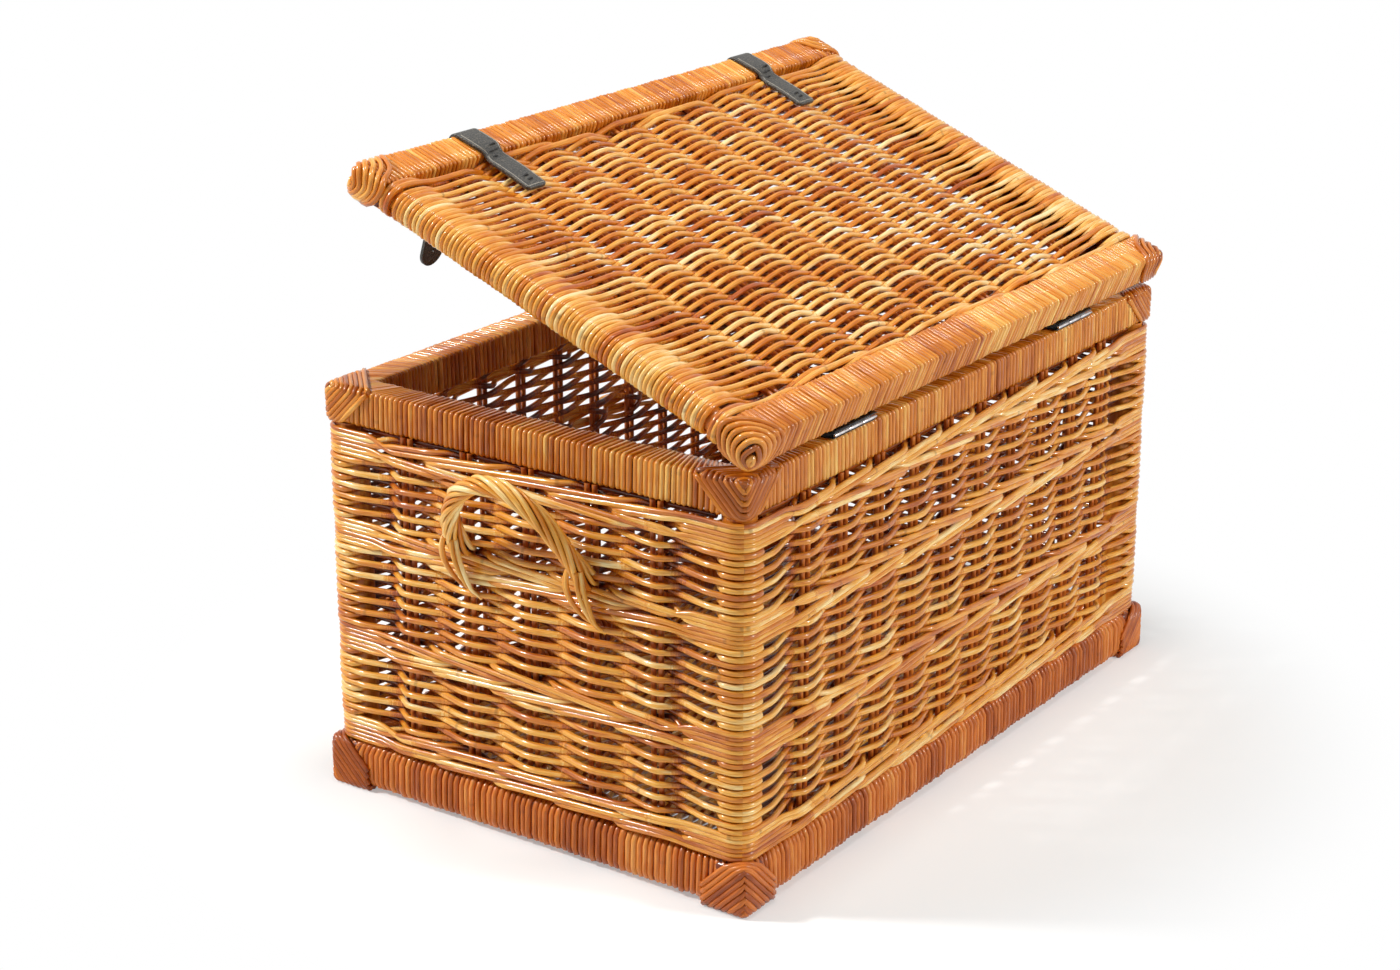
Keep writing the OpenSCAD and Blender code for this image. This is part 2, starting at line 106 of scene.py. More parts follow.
# The bars stand back a little from the outer faces of the knots
LID_FACE_Y = 186.75
LID_KNOT, LID_KNOT_PROUD = 31.25, 0.625
LID_INNER = LID_FACE_Y - LID_BAR_W
LID_LEVEL = LID_BOTTOM + 15.0


# ---------------- frames
def on_wall(side):
    """Turns (along, outward from the stakes' plane, up) of one wall into the hamper's own axes."""
    a = math.radians(SPIN[side])
    c, s = round(math.cos(a)), round(math.sin(a))
    distance = WALL_Y if side in LONG_SIDES else WALL_X

    def place(points):
        p = np.asarray(points, float)
        y = p[:, 1] + distance
        return np.stack([p[:, 0] * c - y * s, p[:, 0] * s + y * c, p[:, 2]], 1)

    return place


def as_is(points):
    return np.asarray(points, float)


def on_lid(points):
    """Turns a point of the closed lid into the lid as it stands open."""
    p = np.asarray(points, float)
    c, s = math.cos(LID_OPEN), math.sin(LID_OPEN)
    y, z = p[:, 1] - HINGE_Y, p[:, 2] - HINGE_Z
    return np.stack([p[:, 0], HINGE_Y + y * c + z * s, HINGE_Z - y * s + z * c], 1)


# ---------------- finishes
def linear(r, g, b):
    """A colour given as 0-255 screen values."""
    return tuple(
        v / 12.92 if v <= 0.04045 else ((v + 0.055) / 1.055) ** 2.4 for v in (r / 255, g / 255, b / 255)
    ) + (1.0,)


def fill(node, **values):
    """Gives a node's sockets, named with _ for a space, plain values or the outputs of other nodes."""
    for name, value in values.items():
        socket = node.inputs[name.replace("_", " ")]
        if isinstance(value, bpy.types.NodeSocket):
            node.id_data.links.new(value, socket)
        else:
            socket.default_value = value


def add_node(tree, kind, **values):
    node = tree.nodes.new("ShaderNode" + kind)
    fill(node, **values)
    return node


def maths(tree, operation, x, y=None, z=None):
    node = add_node(tree, "Math")
    node.operation = operation
    for socket, value in zip(node.inputs, (x, y, z)):
        if isinstance(value, (int, float)):
            socket.default_value = value
        elif value is not None:
            tree.links.new(value, socket)
    return node.outputs[0]


def noise_at(tree, x, y, z, detail):
    """A noise whose place is given by three values."""
    where = add_node(tree, "CombineXYZ", X=x, Y=y, Z=z)
    return add_node(tree, "TexNoise", Vector=where.outputs[0], Scale=1.0, Detail=detail).outputs[0]


# Patches and fibres of a cane's skin: how many to a metre and round the rod, and how much they shift its tone
PATCHES_PER_M, PATCHES_AROUND, PATCH_SHIFT = 30.0, 0.9, 0.7
FIBRES_PER_M, FIBRES_AROUND, FIBRE_SHIFT = 70.0, 26.0, 0.5
# Leaf joints to a metre, and where a joint's ring fades out and is full
JOINTS_PER_M, JOINT_FADES, JOINT_FULL = 4.1, 0.009, 0.002
# Rods of different tone have different patterns
PATTERN_PER_TONE = 37.0


def cane_skin_group():
    """Streaks, leaf-joint rings and fibre grain of a varnished rod, from its run, tone and place round it."""
    tree = bpy.data.node_groups.new("cane_skin", "ShaderNodeTree")
    for way, names in (("INPUT", ("Run", "Tone", "Around")), ("OUTPUT", ("Shade", "Ring", "Fibre"))):
        for name in names:
            tree.interface.new_socket(name, in_out=way, socket_type="NodeSocketFloat")
    run, tone, around = tree.nodes.new("NodeGroupInput").outputs[:3]

    def times(value, factor):
        return maths(tree, "MULTIPLY", value, factor)

    def off_middle(value):
        return maths(tree, "SUBTRACT", value, 0.5)

    offset = times(tone, PATTERN_PER_TONE)
    patch = noise_at(tree, times(run, PATCHES_PER_M), offset, times(around, PATCHES_AROUND), 3.0)
    fibre = noise_at(tree, times(run, FIBRES_PER_M), times(around, FIBRES_AROUND), offset, 2.0)
    shade = maths(tree, "MULTIPLY_ADD", off_middle(patch), PATCH_SHIFT, tone)
    shade = maths(tree, "MULTIPLY_ADD", off_middle(fibre), FIBRE_SHIFT, shade)
    place = maths(tree, "FRACT", maths(tree, "MULTIPLY_ADD", run, JOINTS_PER_M, offset))
    away = maths(tree, "ABSOLUTE", off_middle(place))
    ring = add_node(tree, "MapRange", Value=away, From_Min=JOINT_FADES, From_Max=JOINT_FULL)
    ring.interpolation_type = "SMOOTHSTEP"
    fill(tree.nodes.new("NodeGroupOutput"), Shade=shade, Ring=ring.outputs[0], Fibre=fibre)
    return tree


CANE_SKIN = cane_skin_group()


def new_finish(name, **values):
    material = bpy.data.materials.new(name)
    material.use_nodes = True
    shader = material.node_tree.nodes["Principled BSDF"]
    fill(shader, **values)
    return material, material.node_tree, shader


def colour_ramp(tree, pattern, stops):
    """Colours a pattern by stops of (place, colour)."""
    ramp = add_node(tree, "ValToRGB", Fac=pattern)
    while len(ramp.color_ramp.elements) < len(stops):
        ramp.color_ramp.elements.new(0.5)
    for element, (place, colour) in zip(ramp.color_ramp.elements, stops):
        element.position = place
        element.color = linear(*colour)
    return ramp.outputs["Color"]


def bump_of(tree, height, strength, depth_mm):
    return add_node(tree, "Bump", Height=height, Strength=strength, Distance=depth_mm * MM).outputs[0]


def uneven(tree, pattern, spread, least):
    """An uneven roughness."""
    return maths(tree, "MULTIPLY_ADD", pattern, spread, least)


JOINT_BROWN = (92, 40, 8)


def cane(name, stops, roughness=0.36, coat=0.4, ring=0.35):
    """A varnished rod: stops are (place, colour) from the darkest tone to the palest."""
    material, tree, shader = new_finish(name, Coat_Weight=coat, Coat_Roughness=0.11, Specular_IOR_Level=0.2)
    run, tone = add_node(tree, "Attribute"), add_node(tree, "Attribute")
    run.attribute_name, tone.attribute_name = "run", "tone"
    around = add_node(tree, "UVMap")
    around.uv_map = "UVMap"
    split = add_node(tree, "SeparateXYZ", Vector=around.outputs[0])
    skin = add_node(tree, "Group")
    skin.node_tree = CANE_SKIN
    fill(skin, Run=run.outputs["Fac"], Tone=tone.outputs["Fac"], Around=split.outputs["Y"])
    shade, joint, fibre = skin.outputs[:3]
    mark = add_node(tree, "Mix")
    mark.data_type = "RGBA"
    fill(mark, Factor=maths(tree, "MULTIPLY", joint, ring), A=colour_ramp(tree, shade, stops),
         B=linear(*JOINT_BROWN))
    height = maths(tree, "MULTIPLY_ADD", joint, 0.8, fibre)
    fill(shader, Base_Color=mark.outputs["Result"], Roughness=uneven(tree, fibre, 0.25, roughness - 0.12),
         Normal=bump_of(tree, height, 0.35, 0.4))
    return material


HONEY = ((0.0, (92, 34, 2)), (0.25, (176, 84, 8)), (0.45, (216, 130, 26)), (0.65, (240, 174, 64)),
         (0.88, (254, 232, 168)))
AMBER = ((0.0, (104, 42, 2)), (0.28, (182, 94, 12)), (0.55, (222, 136, 36)), (0.9, (250, 206, 112)))
BASE_BROWN = ((0.0, (118, 46, 4)), (0.3, (172, 82, 14)), (0.6, (216, 120, 36)), (1.0, (242, 174, 88)))
ORANGE = ((0.0, (96, 36, 2)), (0.25, (184, 86, 8)), (0.47, (222, 136, 30)), (0.64, (241, 178, 76)),
          (0.84, (254, 232, 170)))
STAKE_BROWN = ((0.3, (140, 62, 6)), (0.5, (196, 104, 22)), (0.75, (228, 142, 52)))
BLACK_HIDE = ((0.38, (14, 13, 11)), (0.5, (42, 39, 34)), (0.66, (88, 83, 73)))
WAXED = ((0.3, (120, 114, 102)), (0.7, (182, 174, 158)))
# How much a pattern is squeezed along each axis: for grain that runs up, lies across, or has no direction
UPRIGHT, ACROSS, EVEN = (40, 40, 6), (40, 6, 40), (200, 200, 200)


def own_place(tree):
    """A point of the piece, for a pattern that stays with it."""
    return add_node(tree, "TexCoord").outputs["Object"]


def plain_rod(name, stops, squeeze=UPRIGHT):
    """Finish of the straight stakes, posts and poles: streaks along them."""
    material, tree, shader = new_finish(name, Roughness=0.42, Coat_Weight=0.2)
    where = add_node(tree, "Mapping", Vector=own_place(tree), Scale=squeeze)
    streaks = add_node(tree, "TexNoise", Vector=where.outputs[0], Scale=6.0, Detail=4.0).outputs[0]
    fill(shader, Base_Color=colour_ramp(tree, streaks, stops), Normal=bump_of(tree, streaks, 0.3, 0.4))
    return material


def leather():
    material, tree, shader = new_finish("black_leather", Specular_IOR_Level=0.6)
    grain = add_node(tree, "TexVoronoi", Vector=own_place(tree), Scale=800.0)
    grain.feature = "SMOOTH_F1"
    wear = add_node(tree, "TexNoise", Vector=own_place(tree), Scale=750.0, Detail=6.0).outputs[0]
    height = maths(tree, "MULTIPLY_ADD", wear, 0.6, grain.outputs["Distance"])
    fill(shader, Base_Color=colour_ramp(tree, wear, BLACK_HIDE), Roughness=uneven(tree, wear, 0.3, 0.32),
         Normal=bump_of(tree, height, 0.8, 0.5))
    return material


def metal(name, dark, light, roughness, metallic):
    material, tree, shader = new_finish(name, Metallic=metallic)
    wear = add_node(tree, "TexNoise", Vector=own_place(tree), Scale=260.0, Detail=4.0).outputs[0]
    fill(shader, Base_Color=colour_ramp(tree, wear, ((0.4, dark), (0.72, light))),
         Roughness=uneven(tree, wear, 0.25, roughness - 0.1))
    return material


FINISH = {
    "weaver": cane("varnished_weaver", HONEY, roughness=0.33, coat=0.7),
    "wale": cane("varnished_wale", HONEY, roughness=0.32, coat=0.7),
    "lid_weaver": cane("varnished_lid_weaver", ORANGE, roughness=0.34, coat=0.6),
    "rim": cane("rim_binding", AMBER, roughness=0.32, coat=0.6, ring=0.2),
    "base": cane("base_binding", BASE_BROWN, ring=0.2),
    "knot": cane("knot_binding", AMBER, ring=0.0),
    "base_knot": cane("base_knot_binding", BASE_BROWN, ring=0.0),
    "lid_bar": cane("lid_binding", AMBER, roughness=0.32, coat=0.6, ring=0.2),
    "handle": cane("handle_rod", HONEY, roughness=0.32, coat=0.5, ring=0.0),
    "leather": leather(),
    "leather_edge": metal("leather_cut_edge", (18, 17, 16), (40, 38, 35), 0.6, 0.0),
    "thread": plain_rod("waxed_thread", WAXED, EVEN),
    "black_steel": metal("black_steel", (26, 26, 28), (60, 60, 62), 0.22, 0.85),
    "steel": metal("steel", (120, 120, 124), (176, 176, 180), 0.3, 1.0),
    "bright_steel": metal("bright_steel", (206, 206, 208), (236, 236, 238), 0.2, 1.0),
    "stake": plain_rod("varnished_stake", STAKE_BROWN),
    "flat_stake": plain_rod("varnished_cross_stake", STAKE_BROWN, ACROSS),
    "post": plain_rod("post_wood", AMBER),
}


# ---------------- rods
def draws(low, high, count):
    return [chance.uniform(low, high) for _ in range(count)]


def ease(t):
    t = np.clip(t, 0, 1)
    return t * t * (3 - 2 * t)


def drift(count, amplitude, step=9):
    """A slow random wander, for rods that are never quite straight."""
    knots = np.array(draws(-1, 1, max(2, count // step + 2)))
    at = np.linspace(0, len(knots) - 1, count)
    low = np.clip(at.astype(int), 0, len(knots) - 2)
    t = ease(at - low)
    return amplitude * (knots[low] * (1 - t) + knots[low + 1] * t)


def cane_tone():
    """A rod's tone, between 0.23 and 0.83 and mostly near the middle."""
    return 0.23 + 0.6 * chance.betavariate(4.2, 3.6)


def new_object(name, data):
    thing = bpy.data.objects.new(name, data)
    bpy.context.collection.objects.link(thing)
    return thing


def shape_object(name, shape, finish):
    """Makes a finished shape an object at the origin."""
    mesh = bpy.data.meshes.new(name)
    shape.to_mesh(mesh)
    shape.free()
    mesh.materials.append(finish)
    return new_object(name, mesh)


class Rod:
    """Radius and tone are for the whole rod or for each point of its path; start is where its run begins."""

    def __init__(self, path, radius, tone=0.5, start=0.0, closed=False):
        self.path, self.radius, self.tone, self.start, self.closed = path, radius, tone, start, closed


def rods_mesh(rods, around):
    """Sweeps rods, and keeps the tone of each and its run along it."""
    curve = bpy.data.curves.new("rods", "CURVE")
    curve.dimensions = "3D"
    curve.bevel_depth = MM
    curve.bevel_resolution = around
    ring = 4 + 2 * around
    tones, runs = [], []
    for rod in rods:
        path = np.asarray(rod.path, float) * MM
        n = len(path)
        radius = np.broadcast_to(np.asarray(rod.radius, float), n)
        tone = np.broadcast_to(np.asarray(rod.tone, float), n)
        spline = curve.splines.new("POLY")
        spline.points.add(n - 1)
        spline.points.foreach_set("co", np.c_[path, np.ones(n)].ravel())
        spline.points.foreach_set("radius", radius.copy())
        spline.use_cyclic_u = rod.closed
        run = np.concatenate([[0], np.cumsum(np.linalg.norm(np.diff(path, axis=0), axis=1))])
        tones.append(np.repeat(tone, ring))
        runs.append(np.repeat(run + rod.start, ring))
    holder = new_object("rods", curve)
    swept = bpy.data.meshes.new_from_object(holder.evaluated_get(bpy.context.evaluated_depsgraph_get()))
    bpy.data.objects.remove(holder)
    bpy.data.curves.remove(curve)
    for label, values in (("tone", tones), ("run", runs)):
        layer = swept.attributes.new(label, "FLOAT", "POINT")
        layer.data.foreach_set("value", np.concatenate(values).astype(np.float32))
    return swept


def finish_piece(name, rods, finish, body, stands_for=(), cores=(), around=2):
    """Joins swept rods and solid cores into one piece, closes its cut ends and gives it finish and body."""
    shape = bmesh.new()
    if rods:
        swept = rods_mesh(rods, around)
        shape.from_mesh(swept)
        bpy.data.meshes.remove(swept)
    for face in shape.faces:
        face.smooth = True
    open_edges = [e for e in shape.edges if e.is_boundary]
    if open_edges:
        for face in bmesh.ops.holes_fill(shape, edges=open_edges, sides=0)["faces"]:
            face.smooth = False
    for core in cores:
        core(shape)
    piece = shape_object(name, shape, FINISH[finish])
    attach(piece, body)
    if stands_for:
        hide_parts(*stands_for)


def solid_block(low, high, rounding, place=as_is):
    """A block with rounded edges: the core of a binding, seen only between the turns, or a plate."""

    def add(shape):
        made = bmesh.ops.create_cube(shape, size=1.0)["verts"]
        for v in made:
            for i in range(3):
                v.co[i] = high[i] if v.co[i] > 0 else low[i]
        edges = list({e for v in made for e in v.link_edges})
        rounded = bmesh.ops.bevel(
            shape, geom=edges, offset=rounding, offset_type="OFFSET", segments=3, profile=0.5,
            affect="EDGES", material=-1, clamp_overlap=True,
        )
        grown = {v for f in rounded["faces"] for v in f.verts}
        grown |= {e.other_vert(v) for v in list(grown) for e in v.link_edges}
        for v, p in zip(grown, place([tuple(v.co) for v in grown])):
            v.co = Vector(p) * MM
            for f in v.link_faces:
                f.smooth = True

    return add


# ---------------- woven walls
# How far before a post a rod is out again, and still in; how far past its last pair it is in, or out
LEAVE_POST, REACH_POST, DIP, SPEAR = 4.0, 15.0, 18.0, 44.0
# Share of a rod's swing from side to side that is straight, as in a rod pulled tight
TAUT = 0.6
# Painted shade: how much darker a rod's tone is made where it passes inside the stakes, in the shade of the
# weave
PAINTED_INNER_SHADE = 0.6
OUT, IN = 1.0, -1.0


def pair_places(side):
    n, gap = (LONG_PAIRS, LONG_SPACING) if side in LONG_SIDES else (END_PAIRS, END_SPACING)
    return (np.arange(n) - (n - 1) / 2) * gap


def corner_along(side):
    return (WALL_X if side in LONG_SIDES else WALL_Y) - POST_R + STAKE_R


def over_one(k, count):
    """Whether the rod of row k passes outside each of its pairs: every second one."""
    return [(i + k) % 2 == 0 for i in range(count)]


def pairs_behind(centres, outside):
    """The pairs that a rod passes behind, where its own end can be hidden."""
    return [c for c, o in zip(centres, outside) if not o]


def stops_at_pairs(centres, outside):
    return [(c + d, OUT if o else IN) for c, o in zip(centres, outside) for d in (-HOLD, HOLD)]


def stops_at_post(outside, pair, end):
    """Where a rod turns in and out between its last pair and the post, as (place, side)."""
    if outside:
        return [(pair + HOLD + DIP, IN), (end - REACH_POST, IN), (end - LEAVE_POST, OUT), (end, OUT)]
    return [(pair + HOLD + SPEAR, OUT), (end, OUT)]


def stops_of_row(centres, outside, end):
    """All the places where a row is fully outside or inside the stakes, from post to post."""
    before = [(-place, side) for place, side in reversed(stops_at_post(outside[0], -centres[0], end))]
    return before + stops_at_pairs(centres, outside) + stops_at_post(outside[-1], centres[-1], end)


def swing(s, stops):
    """Side of the stakes a rod keeps to along s, eased from stop to stop."""
    at, value = np.array(stops).T
    i = np.clip(np.searchsorted(at, s, side="right") - 1, 0, len(at) - 2)
    t = np.clip((s - at[i]) / (at[i + 1] - at[i]), 0, 1)
    t = TAUT * t + (1 - TAUT) * (1 - np.cos(np.pi * t)) / 2
    return value[i] + (value[i + 1] - value[i]) * t


def wall_samples(side, per_gap=9, at_end=16):
    centres, end = pair_places(side), corner_along(side)
    inner = np.linspace(centres[0], centres[-1], per_gap * (len(centres) - 1) + 1)
    run_out = np.linspace(centres[-1], end, at_end + 1)[1:]
    return np.concatenate([-run_out[::-1], inner, run_out])


def with_turns(values, extra):
    """Repeats the end values of a rod over its turns round the posts."""
    return np.pad(values, extra, mode="edge")


def wall_rod(side, s, side_of, out, z, radius, tone, steps=5):
    """A rod along a wall, with a turn round the outside of each post to the middle of the corner."""
    turn = np.radians(np.linspace(90, 45, steps + 1)[1:])
    # A hair past the middle, where it meets the rod of the next wall
    turn = np.append(turn, turn[-1] - 0.0015)
    r = POST_R + ROD_GAP + radius[0]
    along = corner_along(side) + r * np.cos(turn)
    outward = STAKE_R - POST_R + r * np.sin(turn)
    path = np.concatenate([
        np.stack([-along, outward, np.full(len(turn), z[0])], 1)[::-1],
        np.stack([s, out, z], 1),
        np.stack([along, outward, np.full(len(turn), z[-1])], 1),
    ])
    # Painted shade: the parts of the rod inside the stakes are darkened
    tone = tone - PAINTED_INNER_SHADE * np.clip(-side_of, 0, 1)
    radius, tone = (with_turns(values, len(turn)) for values in (radius, tone))
    return Rod(on_wall(side)(path), radius, tone, chance.uniform(0, 3))


corner_tone = {(k, c): cane_tone() for k in range(ROWS) for c in range(4)}
corner_radius = {(k, c): chance.uniform(2.2, 2.45) for k in range(ROWS) for c in range(4)}
corner_lift = {(k, c): chance.uniform(-0.4, 0.4) for k in range(ROWS) for c in range(4)}
# Corner numbers at the low and high end of each wall's own axis
WALL_ENDS = {"rear": (0, 3), "left": (1, 0), "front": (2, 1), "right": (3, 2)}
ROD_RADII = {"front": (2.4, 2.6), "rear": (2.25, 2.55), "left": (2.4, 2.6), "right": (2.4, 2.6)}
# How far from a post a rod wanders freely, and how far the lift of its corner is felt
FREE_FROM_POST, LIFT_FADES = 40.0, 60.0
# How much further out a row bulges in front of the stakes, and how high in its own space it lies
ROW_BULGE, ROW_HEIGHT = 0.9, 0.47


def in_wale(k):
    return any(start <= k < start + WALE_ROWS for start in WALE_STARTS)


def weave_row(side, k):
    centres, end = pair_places(side), corner_along(side)
    outside = over_one(k, len(centres))
    s = wall_samples(side)
    hidden = pairs_behind(centres, outside)
    half = max(1, len(hidden) // 2)
    first = hidden[chance.randrange(half)]
    last = hidden[chance.randrange(half, len(hidden))] if len(hidden) > 1 else hidden[0]
    a, b = WALL_ENDS[side]

    def joined(of_corner, own):
        """The corner rods' value up to the hidden joins, and the row's own between them."""
        return np.where(s < first, of_corner[k, a], np.where(s > last, of_corner[k, b], own))

    radius = joined(corner_radius, chance.uniform(*ROD_RADII[side]))
    tone = joined(corner_tone, cane_tone())
    loose = np.sin(np.pi * np.clip((end - np.abs(s)) / FREE_FROM_POST, 0, 1) / 2)
    radius = radius * (1 + drift(len(s), 0.06) * loose)
    side_of = swing(s, stops_of_row(centres, outside, end))
    bulge = ROW_BULGE * np.clip(side_of, 0, 1) * loose
    out = side_of * (STAKE_R + ROD_GAP + radius + bulge) + drift(len(s), 0.3) * loose
    fade_a, fade_b = (1 - ease(gone / LIFT_FADES) for gone in (s + end, end - s))
    lift = fade_a * corner_lift[k, a] + fade_b * corner_lift[k, b]
    z = FIRST_ROW + (k + ROW_HEIGHT) * ROW_PITCH + drift(len(s), 0.42, 10) * loose + lift
    return wall_rod(side, s, side_of, out, z, radius, tone)


WALE_R, POST_WALE_R, POST_WALE_STEP = 2.25, 1.95, 3.4
WALE_HOLD = PAIR_HALF + 2.0
WALE_BULGE = 1.4
# Where a slanting stroke starts and ends in a rod's cycle of three pairs
STROKE_START, STROKE_END = 0.4, 2.6
# How far the rods of a band take to lie side by side round a post
STACKING = 30.0
# For each band, its upper and lower set of three rods: height of the set, slant, and rise of a stroke
WALE_SETS = (
    ((4.9, -1, 3.4), (-4.9, -1, 4.0)),
    ((5.2, 1, 4.3), (-5.2, -1, 4.3)),
    ((5.2, 1, 4.3), (-5.2, -1, 4.3)),
    ((4.6, -1, 4.4), (-5.4, 1, 3.4)),
)


def wale_shade():
    return 0.36 + 0.38 * chance.random()


wale_tone = {(band, j): wale_shade() for band in range(4) for j in range(6)}


def wale_rod(side, band, which, j):
    """Rod j of a band's upper (0) or lower (1) set of three: it slants over two pairs and goes behind one."""
    lift, slant, amp = WALE_SETS[band][which]
    centres = pair_places(side)
    gap = centres[1] - centres[0]
    middle = FIRST_ROW + (WALE_STARTS[band] + WALE_ROWS / 2) * ROW_PITCH
    s = wall_samples(side)
    own_amp = amp * chance.uniform(0.85, 1.1)
    radius = WALE_R * chance.uniform(0.94, 1.08) + drift(len(s), 0.15)
    behind = centres[(np.arange(len(centres)) - j - which) % 3 == 0]
    nearest = behind[np.argmin(np.abs(s[:, None] - behind[None, :]), axis=1)]
    t = np.clip((np.abs(s - nearest) - WALE_HOLD) / (gap / 2 - WALE_HOLD), 0, 1)
    side_of = TAUT * (2 * t - 1) - (1 - TAUT) * np.cos(np.pi * t)
    # A stroke goes over two pairs of the cycle, and the turn back behind the third
    place = (s - (centres[0] + (j + which - 3) * gap)) / gap % 3
    stroke = 2 * np.clip((place - STROKE_START) / (STROKE_END - STROKE_START), 0, 1) - 1
    back_down = -np.sin(np.pi * place / (2 * STROKE_START))
    back_up = np.sin(np.pi * (3 - place) / (2 * STROKE_START))
    in_stroke = (place > STROKE_START) & (place < STROKE_END)
    rise = np.where(in_stroke, stroke, np.where(place <= STROKE_START, back_down, back_up))
    z = middle + lift + slant * own_amp * rise + drift(len(s), 0.4, 12)
    at_post = ease((np.abs(s) - centres[-1] - WALE_HOLD) / STACKING)
    stacked = middle + (1 - 2 * which) * 1.5 * POST_WALE_STEP + (j - 1) * POST_WALE_STEP
    z = z * (1 - at_post) + stacked * at_post
    side_of = np.maximum(side_of, 2 * at_post - 1)
    radius = radius * (1 - at_post) + POST_WALE_R * at_post
    bulge = WALE_BULGE * np.clip(side_of, 0, 1) * (1 - at_post)
    out = side_of * (STAKE_R + ROD_GAP + radius + bulge)
    join = chance.choice(list(behind))
    after, before = wale_shade(), wale_shade()
    near_post = np.abs(s) > centres[-1] - 5
    tone = np.where(near_post, wale_tone[band, which * 3 + j], np.where(s > join, after, before))
    return wall_rod(side, s, side_of, out, z, radius, tone)


def rod_under_the_rim(side, radius=2.3):
    """A straight rod laid behind the stakes, close under the rim. Its near-black tone is painted shade."""
    s = wall_samples(side)
    s = s[np.abs(s) < corner_along(side) - POST_R]
    out = np.full(len(s), -STAKE_R - ROD_GAP - radius)
    path = np.stack([s, out, RIM_BOTTOM - 3.0 + drift(len(s), 0.4)], 1)
    return Rod(on_wall(side)(path), radius, 0.1, chance.uniform(0, 3))


for side in SIDES:
    rows = [weave_row(side, k) for k in range(ROWS) if not in_wale(k)] + [rod_under_the_rim(side)]
    finish_piece(f"woven_wall_{side}", rows, "weaver", "body", [f"weave_{side}"])
    bands = [wale_rod(side, band, which, j) for band in range(4) for which in range(2) for j in range(3)]
    finish_piece(f"waling_{side}", bands, "wale", "body", [f"wales_{side}"])


# ---------------- bound bars
def ring_of(w, h, rounding):
    """Sixteen points round a rounded rectangle, centred, from the middle of its underside."""
    corners = []
    for start, cx, cy in ((-90, 1, -1), (0, 1, 1), (90, -1, 1), (180, -1, -1)):
        x, y = cx * (w / 2 - rounding), cy * (h / 2 - rounding)
        turn = [math.radians(start + a) for a in (0, 45, 90)]
        corners.append([(x + rounding * math.cos(t), y + rounding * math.sin(t)) for t in turn])
    ring = []
    for corner, after in zip(corners, corners[1:] + corners[:1]):
        a, b = corner[-1], after[0]
        ring += corner + [((a[0] + b[0]) / 2, (a[1] + b[1]) / 2)]
    return np.array(ring)


# How often a turn is a loose one, and how much further it strays, so that here and there a dark gap opens
LOOSE_SHARE, LOOSE_TURN = 0.14, 2.4
# The turns fan out over this many widths of the bar from each end
FAN_WIDTHS = 3
# The core lies this far inside the bar's faces
CORE_DEPTH = 2.6


def binding(low, high, axis, place, pitch, radius, rounding, rough, outer=0, fan=0.0):
    """One long cane wound round a bar between two corners of its box, and the core inside it.

    outer is the side of the bar, -1 or +1, that faces out; near the ends the turns fan round it."""
    low, high = np.array(low, float), np.array(high, float)
    across, tall = [i for i in range(3) if i != axis]
    w, h = high[across] - low[across], high[tall] - low[tall]
    section = ring_of(w - 2 * radius, h - 2 * radius, max(rounding - radius, 1.2))
    centre = (low + high) / 2
    length = high[axis] - low[axis] - 2
    turns = max(3, int(round(length / pitch)))
    pitch = length / turns
    n = len(section)
    i = np.arange(turns * n)
    turn, part = i // n, (i % n) / n

    def slowly(values):
        """A value for each turn, passed on evenly to the next."""
        return values[turn] * (1 - part) + values[turn + 1] * part

    slack = np.array([
        chance.uniform(-rough, rough) * (LOOSE_TURN if chance.random() < LOOSE_SHARE else 1)
        for _ in range(turns + 1)
    ])
    lift = np.array(draws(-rough, rough, turns + 1))
    ring = section[i % n]
    away = ring / np.linalg.norm(ring, axis=1, keepdims=True)
    ring = ring + away * slowly(lift)[:, None]
    along = low[axis] + 1 + pitch * (i / n) + slowly(slack)
    if fan:
        depth = w / 2 - outer * ring[:, 0]
        near_low, near_high = (
            np.clip(1 - gone / (FAN_WIDTHS * w), 0, 1) for gone in (along - low[axis], high[axis] - along)
        )
        along = along + fan * depth * near_low - fan * depth * near_high
    path = np.zeros((len(i), 3))
    path[:, axis] = along
    path[:, across] = centre[across] + ring[:, 0]
    path[:, tall] = centre[tall] + ring[:, 1]
    tones = []
    while len(tones) < turns:
        strand = chance.uniform(0.38, 0.64)
        tones += [strand + own for own in draws(-0.1, 0.1, chance.randrange(5, 17))]
    fat = np.array(draws(0.9, 1.1, turns))
    rod = Rod(place(path), radius * fat[turn], np.array(tones[:turns])[turn])
    inset = np.full(3, CORE_DEPTH)
    inset[axis] = 0
    return rod, solid_block(low + inset, high - inset, max(rounding - CORE_DEPTH, 1.2), place)


def outward_of(side):
    return 1 if side in ("rear", "right") else -1


def to_the_corners(part, side, axis, inset=3):
    """The box of a base or rim bar, lengthened to run under the knots at both its ends."""
    low, high = box_mm(f"{part}_bar_{side}")
    first, last = (box_mm(f"{part}_knot_{name}") for name in ("front_left", "rear_right"))
    low[axis] = first[0][axis] + inset
    high[axis] = last[1][axis] - inset
    return low, high


BAR_BINDINGS = {
    "base": {"pitch": 5.3, "radius": 2.5, "rounding": 9.0, "rough": 0.5},
    "rim": {"pitch": 4.8, "radius": 2.2, "rounding": 3.5, "rough": 0.4},
}
for side in SIDES:
    axis = 0 if side in LONG_SIDES else 1
    for part, way in BAR_BINDINGS.items():
        box = to_the_corners(part, side, axis)
        rod, core = binding(*box, axis, as_is, outer=outward_of(side), fan=0.9, **way)
        finish_piece(f"bound_{part}_{side}", [rod], part, "body",
                     [f"{part}_bar_{side}"], [core], around=1)

